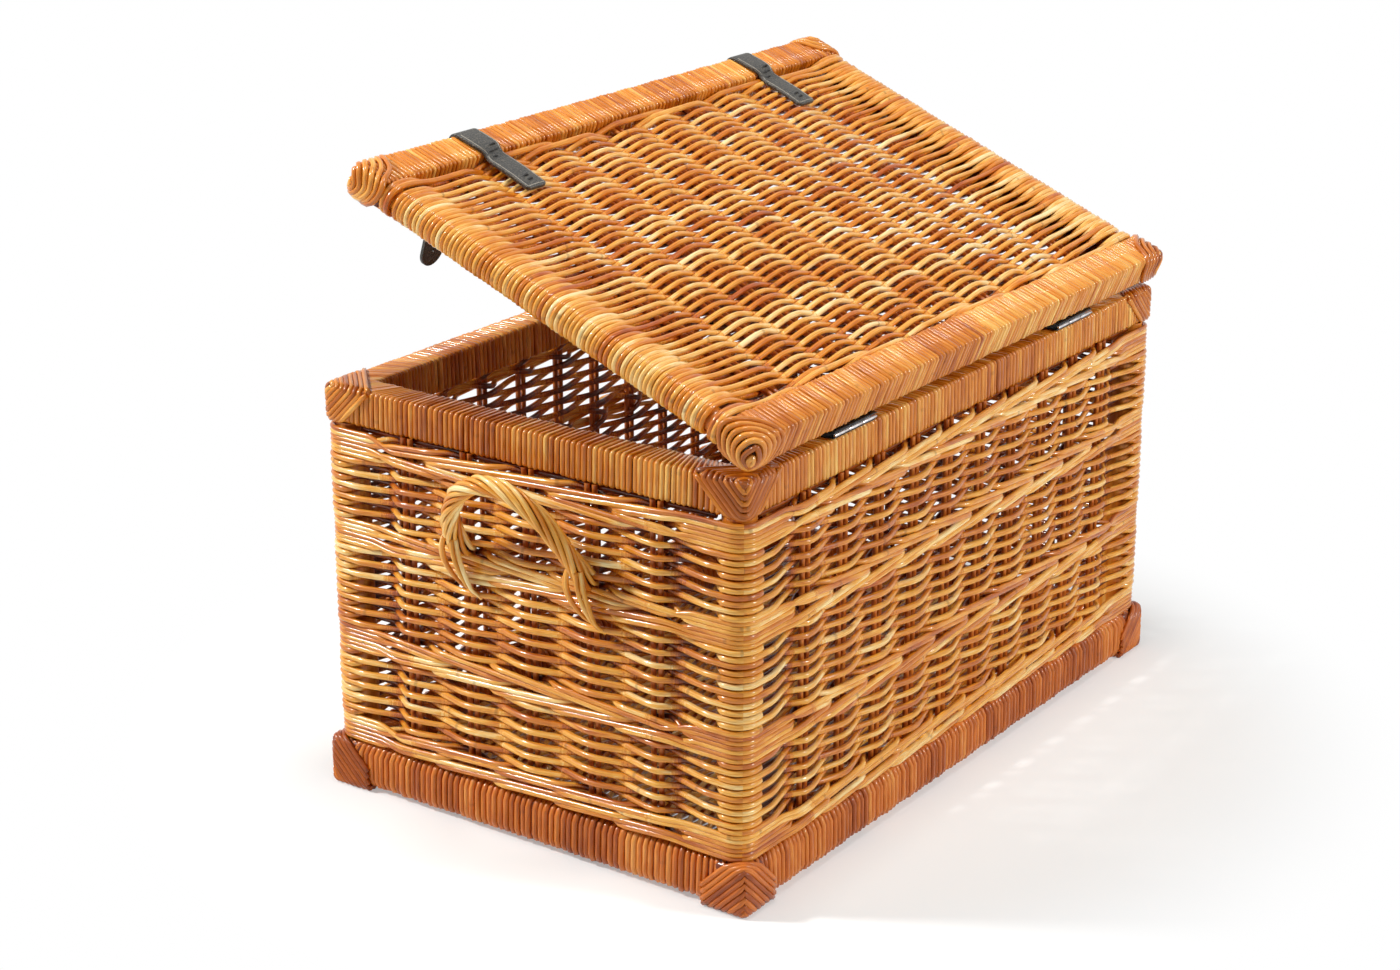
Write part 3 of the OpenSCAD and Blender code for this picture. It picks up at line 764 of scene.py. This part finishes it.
for side, sign in (("front", -1), ("rear", 1)):
    ys = sorted((sign * LID_FACE_Y, sign * LID_INNER))
    reach = LID_HALF_X - 4
    rod, core = binding((-reach, ys[0], LID_BOTTOM), (reach, ys[1], LID_TOP), 0, on_lid,
                        pitch=4.5, radius=2.05, rounding=3.3, rough=0.4)
    finish_piece(f"bound_lid_{side}", [rod], "lid_bar", "lid",
                 [f"lid_bar_{side}"], [core], around=1)


# ---------------- corner knots
def onto_block(points, low, high, rounding, sink):
    """The nearest points of a rounded block's skin, sunk a little into it."""
    low, high = low + rounding, high - rounding
    inner = np.clip(points, low, high)
    away = points - inner
    length = np.maximum(np.linalg.norm(away, axis=1, keepdims=True), 1e-6)
    return inner + away / length * (rounding - sink)


def through(corners, closed, per_side=8):
    """Evenly spaced points along straight sides from corner to corner."""
    ends = corners[1:] + (corners[:1] if closed else [])
    points = [np.array(a) + (np.array(b) - np.array(a)) * t
              for a, b in zip(corners, ends) for t in np.linspace(0, 1, per_side, endpoint=False)]
    if not closed:
        points.append(np.array(corners[-1], float))
    return np.array(points)


def slanting_band(c, width, height):
    """A band laid where the three distances from the outer corner add up to c, as (corners, closed) parts.

    A corner is (inward along x, inward along y, from the tip)."""
    side_top = c - height
    rest = [(side_top, 0, height), (0, side_top, height)] if side_top > 0 else [(0, 0, c)]
    if c <= width:
        return [([(c, 0, 0)] + rest + [(0, c, 0)], True)]
    bands = [([(width, 0, c - width)] + rest + [(0, width, c - width)], False)]
    if c < 2 * width:
        bands.append(([(width, c - width, 0), (c - width, width, 0)], False))
    return bands


def rounded_off(points, times=2, cut=0.25):
    """Cuts the corners of a closed line again and again, so that it flows."""
    points = np.array(points, float)
    for _ in range(times):
        after = np.roll(points, -1, axis=0)
        pairs = np.stack([(1 - cut) * points + cut * after, cut * points + (1 - cut) * after], 1)
        points = pairs.reshape(-1, points.shape[1])
    return points


def slanting_bands(steps, width, height, cut=0.0):
    bands = []
    for c in steps:
        for corners, closed in slanting_band(c, width, height):
            if closed and cut:
                corners = list(rounded_off(corners, 1, cut))
            bands.append((through(corners, closed), closed))
    return bands


SHIELD = ((0.0, -1.0), (0.2, -0.86), (1.1, 0.12), (1.05, 0.75), (0.55, 1.2), (-0.55, 1.2), (-1.05, 0.75),
          (-1.1, 0.12), (-0.2, -0.86))
# How much the head of a shield rises in its middle
DOME = 0.85


def shield_band(reach, level, height):
    """A shield-shaped ring round the upright edge of a knot, folded over the knot's top and bottom.

    Its middle is level mm below the tip."""
    u, up = rounded_off(SHIELD).T
    domed = np.where(up > 0, up + DOME * np.clip(1 - np.abs(u), 0, 1) * ease(up), 0.8 * up)
    u, v = reach * u, level - reach * domed
    over = np.maximum(-v, v - height).clip(0)
    keep = np.abs(u) >= over
    a, b = np.maximum(over, -u), np.maximum(over, u)
    return np.stack([a, b, np.clip(v, 0, height)], 1)[keep]


# How far bands reach past the block, over the ends of the bars
OVERLAP = 20.0
# How far inside the block's faces the core lies
KNOT_CORE_DEPTH = 2.2
FRONT_LID_PALER = 0.2


def knot_piece(name, node, low, high, way, place, finish, body, bands, radius, proud, rounding=6.0):
    """Lays the bands round the outer corner of a knot, on a core that is seen only between them.

    way is the side of the block, -1 or +1 along each axis, on which the outer corner's tip lies."""
    tip = np.where(way > 0, high, low)
    tone = chance.uniform(0.3, 0.46) + (FRONT_LID_PALER if name.startswith("lid_corner_front") else 0.0)
    rods = []
    reach = OVERLAP * np.array([1, 1, 0])
    skin_low, skin_high = np.where(way > 0, low - reach, low), np.where(way > 0, high, high + reach)
    for points, closed in bands:
        loop = onto_block(tip - way * points, skin_low, skin_high, rounding, radius - proud)
        loop[:, 2] = np.maximum(loop[:, 2], radius + 0.1)
        rods.append(Rod(place(loop + np.array(draws(-0.15, 0.15, 3))), radius * chance.uniform(0.94, 1.06),
                        tone + chance.uniform(-0.2, 0.2), chance.uniform(0, 3), closed))
    core = solid_block(low + KNOT_CORE_DEPTH, high - KNOT_CORE_DEPTH, rounding - 1.0, place)
    finish_piece(name, rods, finish, body, [node], [core], around=1)


for name in CORNERS:
    x_way, y_way = (1 if name.endswith("right") else -1), (1 if name.startswith("rear") else -1)
    downward, upward = np.array([x_way, y_way, -1]), np.array([x_way, y_way, 1])
    low, high = box_mm(f"base_knot_{name}")
    bands = slanting_bands(np.arange(4.5, 55, 5.5), width=37.0, height=high[2] - low[2])
    knot_piece(f"base_corner_{name}", f"base_knot_{name}", low, high, downward, as_is, "base_knot", "body",
               bands, radius=2.3, proud=1.7)
    low, high = box_mm(f"rim_knot_{name}")
    bands = slanting_bands(np.arange(4.6, 45, 4.9), width=42.0, height=high[2] - low[2], cut=0.14)
    knot_piece(f"rim_corner_{name}", f"rim_knot_{name}", low, high, upward, as_is, "knot", "body",
               bands, radius=2.15, proud=1.5)
    low, high = np.array([0, 0, LID_BOTTOM - LID_KNOT_PROUD]), np.array([0, 0, LID_TOP + LID_KNOT_PROUD])
    for i, half in enumerate((LID_HALF_X, LID_HALF_Y)):
        low[i], high[i] = sorted((upward[i] * half, upward[i] * (half - LID_KNOT)))
    height = high[2] - low[2]
    bands = [(shield_band(reach, 0.7 * height, height), True) for reach in np.arange(2.4, 33, 4.4)]
    knot_piece(f"lid_corner_{name}", f"lid_knot_{name}", low, high, upward, on_lid, "lid_bar", "lid",
               bands, radius=2.2, proud=2.0, rounding=8.0)


# ---------------- lid and base panels
POLE_R = 8.5
POLE_X = (LID_HALF_X - POLE_R) - ROD_GAP - 3.7
POLE_Z = LID_BOTTOM + LID_BAR_H / 2
PANEL_GAP = 0.2
LID_PITCH, LID_BULGE = 4.05, 1.1
# Painted shade: how much darker a lid rod's tone is made where it dips under the stakes
PAINTED_LID_UNDERSIDE_SHADE = 0.48
LAP_POINTS, TURNED_BACK = 10, 4
LAP_LENGTH = LAP_POINTS + TURNED_BACK
# Before the pole's middle: where a rod begins to rise to the pole's top, and over what length
RISE_FROM, RISE_OVER = 42.0, 38.0
# The same for the rows' drawing in towards the poles, and how far the outermost is drawn in
DRAWN_FROM, DRAWN_OVER, DRAWN_IN = 80.0, 72.0, 4.5


def lap_round_pole(last, lap_r, way):
    """The end of a lid row: down round the pole and back under the panel, beside the row it came from."""
    turn = np.radians(np.linspace(90, -90, LAP_POINTS + 1)[1:])
    lap = np.stack([POLE_X + lap_r * np.cos(turn), np.zeros(LAP_POINTS), POLE_Z + lap_r * np.sin(turn)], 1)
    back = np.linspace(0, 1, TURNED_BACK + 1)[1:]
    length = chance.uniform(38, 50)
    under = np.stack([POLE_X - length * back, LID_PITCH / 2 * ease(2 * back), lap[-1, 2] + 3.5 * back], 1)
    return np.concatenate([lap, under]) * np.array([way, 1, 1]) + np.array([0, last[1], 0])


def lid_row(k, rows, over_two=False):
    centres, end = pair_places("rear"), corner_along("rear")
    y = (k - (rows - 1) / 2) * LID_PITCH
    if over_two:
        outside = [(i + k) % 3 != 0 for i in range(len(centres))]
        radius = chance.uniform(2.3, 2.5)
        drawn_in = 0.0
    else:
        outside = over_one(k, len(centres))
        radius = chance.uniform(1.95, 2.22)
        drawn_in = DRAWN_IN * (abs(y) / LID_INNER) ** 4 * np.sign(y)
    s = wall_samples("rear")
    s = s[np.abs(s) < POLE_X - 0.5]
    radius = radius * (1 + drift(len(s), 0.06))
    lap_r = POLE_R + PANEL_GAP + radius[0]
    side_of = swing(s, [(-end, OUT)] + stops_at_pairs(centres, outside) + [(end, OUT)])
    height = side_of * (STAKE_R + PANEL_GAP + radius) + LID_BULGE * np.clip(side_of, 0, 1)
    top = POLE_Z + lap_r - LID_LEVEL
    near_pole = ease((np.abs(s) - (POLE_X - RISE_FROM)) / RISE_OVER)
    z = LID_LEVEL + height * (1 - near_pole) + top * near_pole + drift(len(s), 0.25) * (1 - near_pole)
    near_end = ease((np.abs(s) - (POLE_X - DRAWN_FROM)) / DRAWN_OVER)
    inner = np.stack([s, y + drift(len(s), 0.4, 11) - drawn_in * near_end, z], 1)
    low_lap, high_lap = lap_round_pole(inner[0], lap_r, -1), lap_round_pole(inner[-1], lap_r, 1)
    path = np.concatenate([low_lap[::-1], inner, high_lap])
    join = chance.choice(pairs_behind(centres, outside))
    tone = np.where(path[:, 0] > join, cane_tone(), cane_tone())
    # Painted shade: the parts of the row under the stakes are darkened
    tone = tone - PAINTED_LID_UNDERSIDE_SHADE * with_turns(np.clip(-side_of, 0, 1), LAP_LENGTH)
    # Painted shade: the ends turned back under the panel get a near-black tone
    tone[:TURNED_BACK] = tone[-TURNED_BACK:] = 0.05
    return Rod(on_lid(path), with_turns(radius, LAP_LENGTH), tone, chance.uniform(0, 3))


lid_rows = int((2 * LID_INNER - 1) / LID_PITCH)
rows = [lid_row(k, lid_rows) for k in range(2, lid_rows - 2)]
finish_piece("woven_lid", rows, "lid_weaver", "lid", ["lid_weave"], around=1)
rows = [lid_row(k, lid_rows, over_two=True) for k in (0, 1, lid_rows - 2, lid_rows - 1)]
finish_piece("lid_waling", rows, "lid_weaver", "lid", ["lid_wales"])

sticks_low, sticks_high = box_mm("base_sticks")
base_low, base_high = box_mm("base_weave")
BASE_LEVEL = (sticks_low[2] + sticks_high[2]) / 2
BASE_PITCH = 4.5


def base_row(k, rows):
    centres, end = pair_places("rear"), corner_along("rear")
    s = np.linspace(base_low[0], base_high[0], 96)
    radius = chance.uniform(2.15, 2.35)
    side_of = swing(np.clip(s, -end, end), stops_of_row(centres, over_one(k, len(centres)), end))
    flat_end = np.clip((base_high[0] - np.abs(s)) / 20, 0, 1)
    height = side_of * flat_end * (STAKE_R + PANEL_GAP + radius)
    y = (k - (rows - 1) / 2) * BASE_PITCH + drift(len(s), 0.3, 14)
    return Rod(np.stack([s, y, BASE_LEVEL + height], 1), radius, cane_tone())


base_rows = int((base_high[1] - base_low[1] - 1) / BASE_PITCH)
rows = [base_row(k, base_rows) for k in range(base_rows)]
finish_piece("woven_base", rows, "weaver", "body", ["base_weave"], around=1)


# ---------------- handles
HANDLE_SPAN, HANDLE_RISE, HANDLE_REACH, HANDLE_ROOT = 112.0, 68.0, 33.0, 222.0
HANDLE_OUT = STAKE_R + ROD_GAP + 5.0 + ROD_GAP
# Rods in a handle, how far they lie from its middle line, their turns round it, and the radius of its core
HANDLE_RODS, HANDLE_LAY, HANDLE_TWIST, HANDLE_CORE_R = 8, 5.3, 1.8, 3.2
# Where the middle line starts, inward of the face of the weave, and how high the tucked ends start
ROOT_DEPTH, TUCK_START = 5.0, 12.0


def arch(s):
    """The middle line of a handle, from root to root."""
    a = np.pi * s
    reach = (HANDLE_REACH + ROOT_DEPTH) * np.clip(np.sin(a), 0, None) ** 0.6
    x = WALL_X + HANDLE_OUT - ROOT_DEPTH + reach
    return np.stack([x, -HANDLE_SPAN / 2 * np.cos(a), HANDLE_ROOT + HANDLE_RISE * np.sin(a)], 1)


def tuck(root, out, start, bow, tip, drop):
    """A rod end that leaves the bend of the handle, bows out and is pushed into the weave below the root."""
    t = np.linspace(0, 1, 21)
    y = root + (1 - t) ** 2 * start + 2 * t * (1 - t) * bow + t * t * tip
    z = HANDLE_ROOT + TUCK_START - (drop + TUCK_START) * t
    x = WALL_X + HANDLE_OUT + out * np.cos(np.pi / 2 * t) ** 0.9 - 4.5 * ease((t - 0.8) / 0.2)
    return np.stack([x, y, z], 1), 1.75 - 0.6 * ease((t - 0.5) / 0.5)


# How far out, along at the start, at the bow and at the tip, and how far down each rod end goes
TUCKS = ((12.0, -6.0, -19.0, 8.0, 33.0), (14.5, -4.0, -13.0, 9.0, 34.0), (15.0, 3.0, 2.5, 11.0, 36.0),
         (12.5, 5.0, 7.5, 13.0, 38.0))


def unit(v):
    return v / np.linalg.norm(v, axis=-1, keepdims=True)


def handle_rods(side):
    rods = []
    u = np.linspace(0, 1, 81)
    s = u - np.sin(2 * np.pi * u) / 9
    line = arch(s)
    tangent = np.gradient(line, axis=0)
    tangent[0], tangent[-1] = (1, 0, 0), (-1, 0, 0)
    tangent = unit(tangent)
    across = unit(np.cross(unit(np.array([HANDLE_RISE, 0, -HANDLE_REACH])), tangent))
    up = np.cross(tangent, across)
    for k in range(HANDLE_RODS):
        a = 2 * np.pi * (k / HANDLE_RODS + HANDLE_TWIST * s)
        lay = (HANDLE_LAY + 0.5 * math.sin(2.1 * k)) * (1 + 0.35 * np.abs(2 * s - 1) ** 8)
        path = line + lay[:, None] * (np.cos(a)[:, None] * across + np.sin(a)[:, None] * up)
        radius = 1.9 + 0.2 * math.sin(1.7 * k + 1)
        rods.append(Rod(path, radius, 0.42 + 0.35 * chance.random(), 0.4 * k))
    # The core seen between the rods gets the darkest tone: painted shade
    rods.append(Rod(line, HANDLE_CORE_R, 0.0))
    for sign in (-1, 1):
        for kind in TUCKS:
            path, radius = tuck(sign * HANDLE_SPAN / 2, *kind)
            rods.append(Rod(path, radius, 0.5 + 0.35 * chance.random(), chance.random()))
    # The left handle is the right one turned half round
    if side == "left":
        for rod in rods:
            rod.path = rod.path * np.array([-1, -1, 1])
    return rods


for side in ENDS:
    rods = handle_rods(side)
    finish_piece(f"twisted_handle_{side}", rods, "handle", "body", [f"handle_{side}"])


# ---------------- straps
STRAP_W, STRAP_T = 24.0, 3.0
# Middle and radius of the strap's bend over the bar's front edge
STRAP_EDGE, STRAP_R = (5.0, 21.0), 5.5
# The middle of the strap in side view, as (from the front face of the bar, above the underside of the lid)
STRAP_FRONT = [(-0.5, 1.0), (-0.5, 8.0), (-0.5, 15.0)]
STRAP_TOP = [(12, 27.6), (20, 27.9), (26, 27.9), (30, 26.4), (33.5, 24.4), (38, 23.7), (45, 23.9), (55, 24.0),
             (62, 23.8), (68, 23.4), (73, 23.1), (78, 22.9)]
# The nip at the inner edge of the bar: its place, half length and depth on each side
NIP_AT, NIP_LENGTH, NIP_DEPTH = 31.5, 3.6, 2.4
STRAP_CROWN = 0.5


def strap_line():
    bend = [(STRAP_EDGE[0] - STRAP_R * math.sin(a), STRAP_EDGE[1] + STRAP_R * math.cos(a) + 0.6)
            for a in map(math.radians, range(90, -1, -15))]
    return np.array(STRAP_FRONT + bend + STRAP_TOP)


def strap_half_width(d):
    """Half the width of the strap: nipped in by its lacing, and a little narrower from there on."""
    nip = np.exp(-((d - NIP_AT) / NIP_LENGTH) ** 2)
    return float(STRAP_W / 2 - ease((d - 24) / 12) - NIP_DEPTH * nip)


def crown(across):
    """How much the strap rises over its edges, across from -1 to 1."""
    return STRAP_CROWN * (1 - across ** 2)


def lid_strap(side, x0):
    line = strap_line()
    shape = bmesh.new()
    bmesh.ops.create_grid(shape, x_segments=8, y_segments=len(line) - 1, size=1.0)
    for v in shape.verts:
        across = v.co.x
        d, h = line[int(round((v.co.y + 1) / 2 * (len(line) - 1)))]
        x = x0 + across * strap_half_width(d)
        # The corners of the end are cut off
        tail, cut = max(0.0, d - 74.0) / 4.0, max(0.0, abs(across) - 0.72) / 0.28
        d = d - 3.2 * cut * tail
        z = LID_BOTTOM + h + (crown(across) if d > 8 else 0)
        v.co = Vector(on_lid([(x, -LID_FACE_Y + d, z)])[0]) * MM
    bmesh.ops.recalc_face_normals(shape, faces=shape.faces)
    for face in shape.faces:
        face.smooth = True
    strap = shape_object(f"leather_strap_{side}", shape, FINISH["leather"])
    thick = strap.modifiers.new("thickness", "SOLIDIFY")
    thick.thickness = STRAP_T * MM
    thick.offset = 0.0
    round_edge = strap.modifiers.new("edges", "BEVEL")
    round_edge.width = 0.7 * MM
    round_edge.segments = 2
    round_edge.limit_method = "ANGLE"
    smooth = strap.modifiers.new("smooth", "SUBSURF")
    smooth.levels = smooth.render_levels = 1
    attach(strap, "lid")
    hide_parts(f"lid_strap_{side}")


def on_strap(d, across, x0, proud):
    """A point on top of the strap, across from -1 to 1 over its width, in the closed lid."""
    line = strap_line()
    start = int(np.argmax(line[:, 0] > STRAP_EDGE[0] - 0.1))
    h = np.interp(d, line[start:, 0], line[start:, 1])
    z = LID_BOTTOM + h + STRAP_T / 2 + proud + crown(across)
    return (x0 + across * strap_half_width(d), -LID_FACE_Y + d, z)


THREAD_R, LACE_R = 0.36, 0.8
SEAM_ACROSS, SEAM_END = 0.84, 75.2
# Place of each lace along and across the strap
LACES = ((28.5, -0.3), (33.5, 0.25), (66.5, 0.0))


def stitching(side, x0):
    """Thread along both edges of the strap and across its end."""
    seams = [[on_strap(d, across, x0, -0.1) for d in np.linspace(7, 75, 40)]
             for across in (-SEAM_ACROSS, SEAM_ACROSS)]
    over = np.linspace(-SEAM_ACROSS, SEAM_ACROSS, 9)
    seams.append([on_strap(SEAM_END, across, x0, -0.1) for across in over])
    rods = [Rod(on_lid(seam), THREAD_R) for seam in seams]
    finish_piece(f"strap_stitching_{side}", rods, "thread", "lid", around=1)


def laces(x0):
    """Short leather laces through the strap, of two turns each: two at its nip and one near its end."""
    rods = []
    for d, across in LACES:
        for shift in (-2.3, 2.3):
            line = [on_strap(d + shift, across + 0.24 * math.cos(a), x0, -0.8 + 1.5 * math.sin(a))
                    for a in np.linspace(0, np.pi, 9)]
            rods.append(Rod(on_lid(line), LACE_R))
    return rods


def middle_of(node):
    low, high = box_mm(node)
    return (low[0] + high[0]) / 2


all_laces = []
for side in ENDS:
    x0 = middle_of(f"lid_strap_{side}")
    lid_strap(side, x0)
    stitching(side, x0)
    all_laces += laces(x0)
finish_piece("strap_laces", all_laces, "leather_edge", "lid", ["strap_rivets"], around=1)


# ---------------- hinges
HINGE_HALF, LEAF_T = 27.0, 1.2
LEAF_DEPTH, LEAF_PROUD, LEAF_GAP = 20.0, 0.6, 0.1
KNUCKLE_R, KNUCKLE_END_R = 1.1, 0.8


def hinge_leaf(name, node, place, body, x0, low_z):
    """A hinge leaf: a thin black plate with softened edges, laid between the lid and the rim."""
    low = (x0 - HINGE_HALF, LID_FACE_Y - LEAF_DEPTH, low_z)
    high = (x0 + HINGE_HALF, LID_FACE_Y + LEAF_PROUD, low_z + LEAF_T)
    finish_piece(name, [], "black_steel", body, [node], [solid_block(low, high, 0.4, place)])


def hinge_barrel(x0):
    """The three knuckles of a hinge in a row on its pin, a little narrower where they meet."""
    third = 2 * HINGE_HALF / 3
    starts = [x0 - HINGE_HALF + k * third for k in range(3)]
    path = [(start + x, HINGE_Y, HINGE_Z) for start in starts for x in (0.1, 0.5, third - 0.5, third - 0.1)]
    return Rod(path, [KNUCKLE_END_R, KNUCKLE_R, KNUCKLE_R, KNUCKLE_END_R] * 3)


barrels = []
for side in ENDS:
    x0 = middle_of(f"hinge_body_leaf_{side}")
    hinge_leaf(f"hinge_plate_body_{side}", f"hinge_body_leaf_{side}", as_is, "body", x0, RIM_TOP + LEAF_GAP)
    hinge_leaf(f"hinge_plate_lid_{side}", f"hinge_lid_leaf_{side}", on_lid, "lid", x0,
               LID_BOTTOM - LEAF_T - LEAF_GAP)
    barrels.append(hinge_barrel(x0))
finish_piece("hinge_barrels", barrels, "bright_steel", "body", ["hinge_pins"], around=4)


# ---------------- carried CAD pieces
CARRIED = {
    "stake": [f"stakes_{side}" for side in SIDES],
    "post": ["corner_posts"] + [f"lid_pole_{side}" for side in ENDS],
    "flat_stake": ["base_sticks", "lid_stakes"],
    "leather": [f"strap_tail_{side}" for side in ENDS],
    "steel": ["hinge_body_screws", "hinge_lid_screws"],
    "black_steel": ["closure_studs"],
}
for finish, nodes in CARRIED.items():
    for node in nodes:
        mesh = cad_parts[node].data
        mesh.materials.clear()
        mesh.materials.append(FINISH[finish])


# ---------------- floor, light and camera
def seen_plainly(tree):
    """1 for what the camera sees, straight or in gloss or glass, and 0 for light on its way to the object."""
    path = add_node(tree, "LightPath")
    seen = maths(tree, "MAXIMUM", path.outputs["Is Camera Ray"], path.outputs["Is Glossy Ray"])
    return maths(tree, "MAXIMUM", seen, path.outputs["Is Transmission Ray"])


WHITE, FLOOR_WHITE = (1, 1, 1, 1), (0.95, 0.975, 0.965, 1)
# Strength of the floor's own light at its middle, and how far out, in metres, it grows to full
FLOOR_GLOW, GLOW_FROM, GLOW_FULL = 0.35, 0.34, 0.52


def studio_floor():
    shape = bmesh.new()
    bmesh.ops.create_grid(shape, x_segments=1, y_segments=1, size=14)
    material, tree, shader = new_finish("studio_floor", Base_Color=FLOOR_WHITE, Roughness=0.7,
                                        Specular_IOR_Level=0.1)
    span = add_node(tree, "VectorMath", Vector=own_place(tree))
    span.operation = "LENGTH"
    far = add_node(tree, "MapRange", Value=span.outputs["Value"], From_Min=GLOW_FROM, From_Max=GLOW_FULL,
                   To_Min=FLOOR_GLOW)
    far.interpolation_type = "SMOOTHSTEP"
    mix = add_node(tree, "MixShader", Fac=maths(tree, "MULTIPLY", far.outputs[0], seen_plainly(tree)))
    glow = add_node(tree, "Emission", Color=WHITE)
    for socket, part in zip(mix.inputs[1:], (shader, glow)):
        tree.links.new(part.outputs[0], socket)
    fill(tree.nodes["Material Output"], Surface=mix.outputs[0])
    shape_object("studio_floor", shape, material)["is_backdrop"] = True


def turn_towards(thing, direction):
    thing.rotation_euler = direction.to_track_quat("-Z", "Y").to_euler()


# Name, place, the height above the floor that it aims at, size and power of each lamp
LAMPS = (
    ("key", (1.4, -1.8, 2.05), 0.2, 0.4, 78),
    ("fill", (-0.6, 2.6, 1.5), 0.15, 0.5, 46),
    ("top", (0.2, 0.2, 2.6), 0.2, 0.6, 26),
)
AMBIENT = 0.05


def studio():
    studio_floor()
    for name, place, aim_height, size, power in LAMPS:
        data = bpy.data.lights.new(name, "AREA")
        data.shape = "DISK"
        data.size = size
        data.energy = power
        lamp = new_object(name, data)
        lamp.location = place
        turn_towards(lamp, Vector((0, 0, aim_height)) - Vector(place))
    world = bpy.data.worlds.new("studio")
    world.use_nodes = True
    tree = world.node_tree
    strength = maths(tree, "MULTIPLY_ADD", seen_plainly(tree), 1 - AMBIENT, AMBIENT)
    fill(tree.nodes["Background"], Color=WHITE, Strength=strength)
    bpy.context.scene.world = world
    bpy.context.scene.view_settings.view_transform = "Standard"


CAMERA_PLACE, CAMERA_AZIMUTH, CAMERA_ELEVATION = (1.71576, 1.16197, 0.93943), 125.43, 19.79
CAMERA_LENS, CAMERA_SENSOR = 71.45, 36


def camera():
    data = bpy.data.cameras.new("camera")
    data.sensor_width = CAMERA_SENSOR
    data.lens = CAMERA_LENS
    cam = new_object("camera", data)
    cam.location = CAMERA_PLACE
    azimuth, elevation = math.radians(CAMERA_AZIMUTH), math.radians(CAMERA_ELEVATION)
    level = math.cos(elevation)
    turn_towards(cam, -Vector((math.sin(azimuth) * level, -math.cos(azimuth) * level, math.sin(elevation))))
    bpy.context.scene.camera = cam


studio()
camera()

low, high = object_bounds()
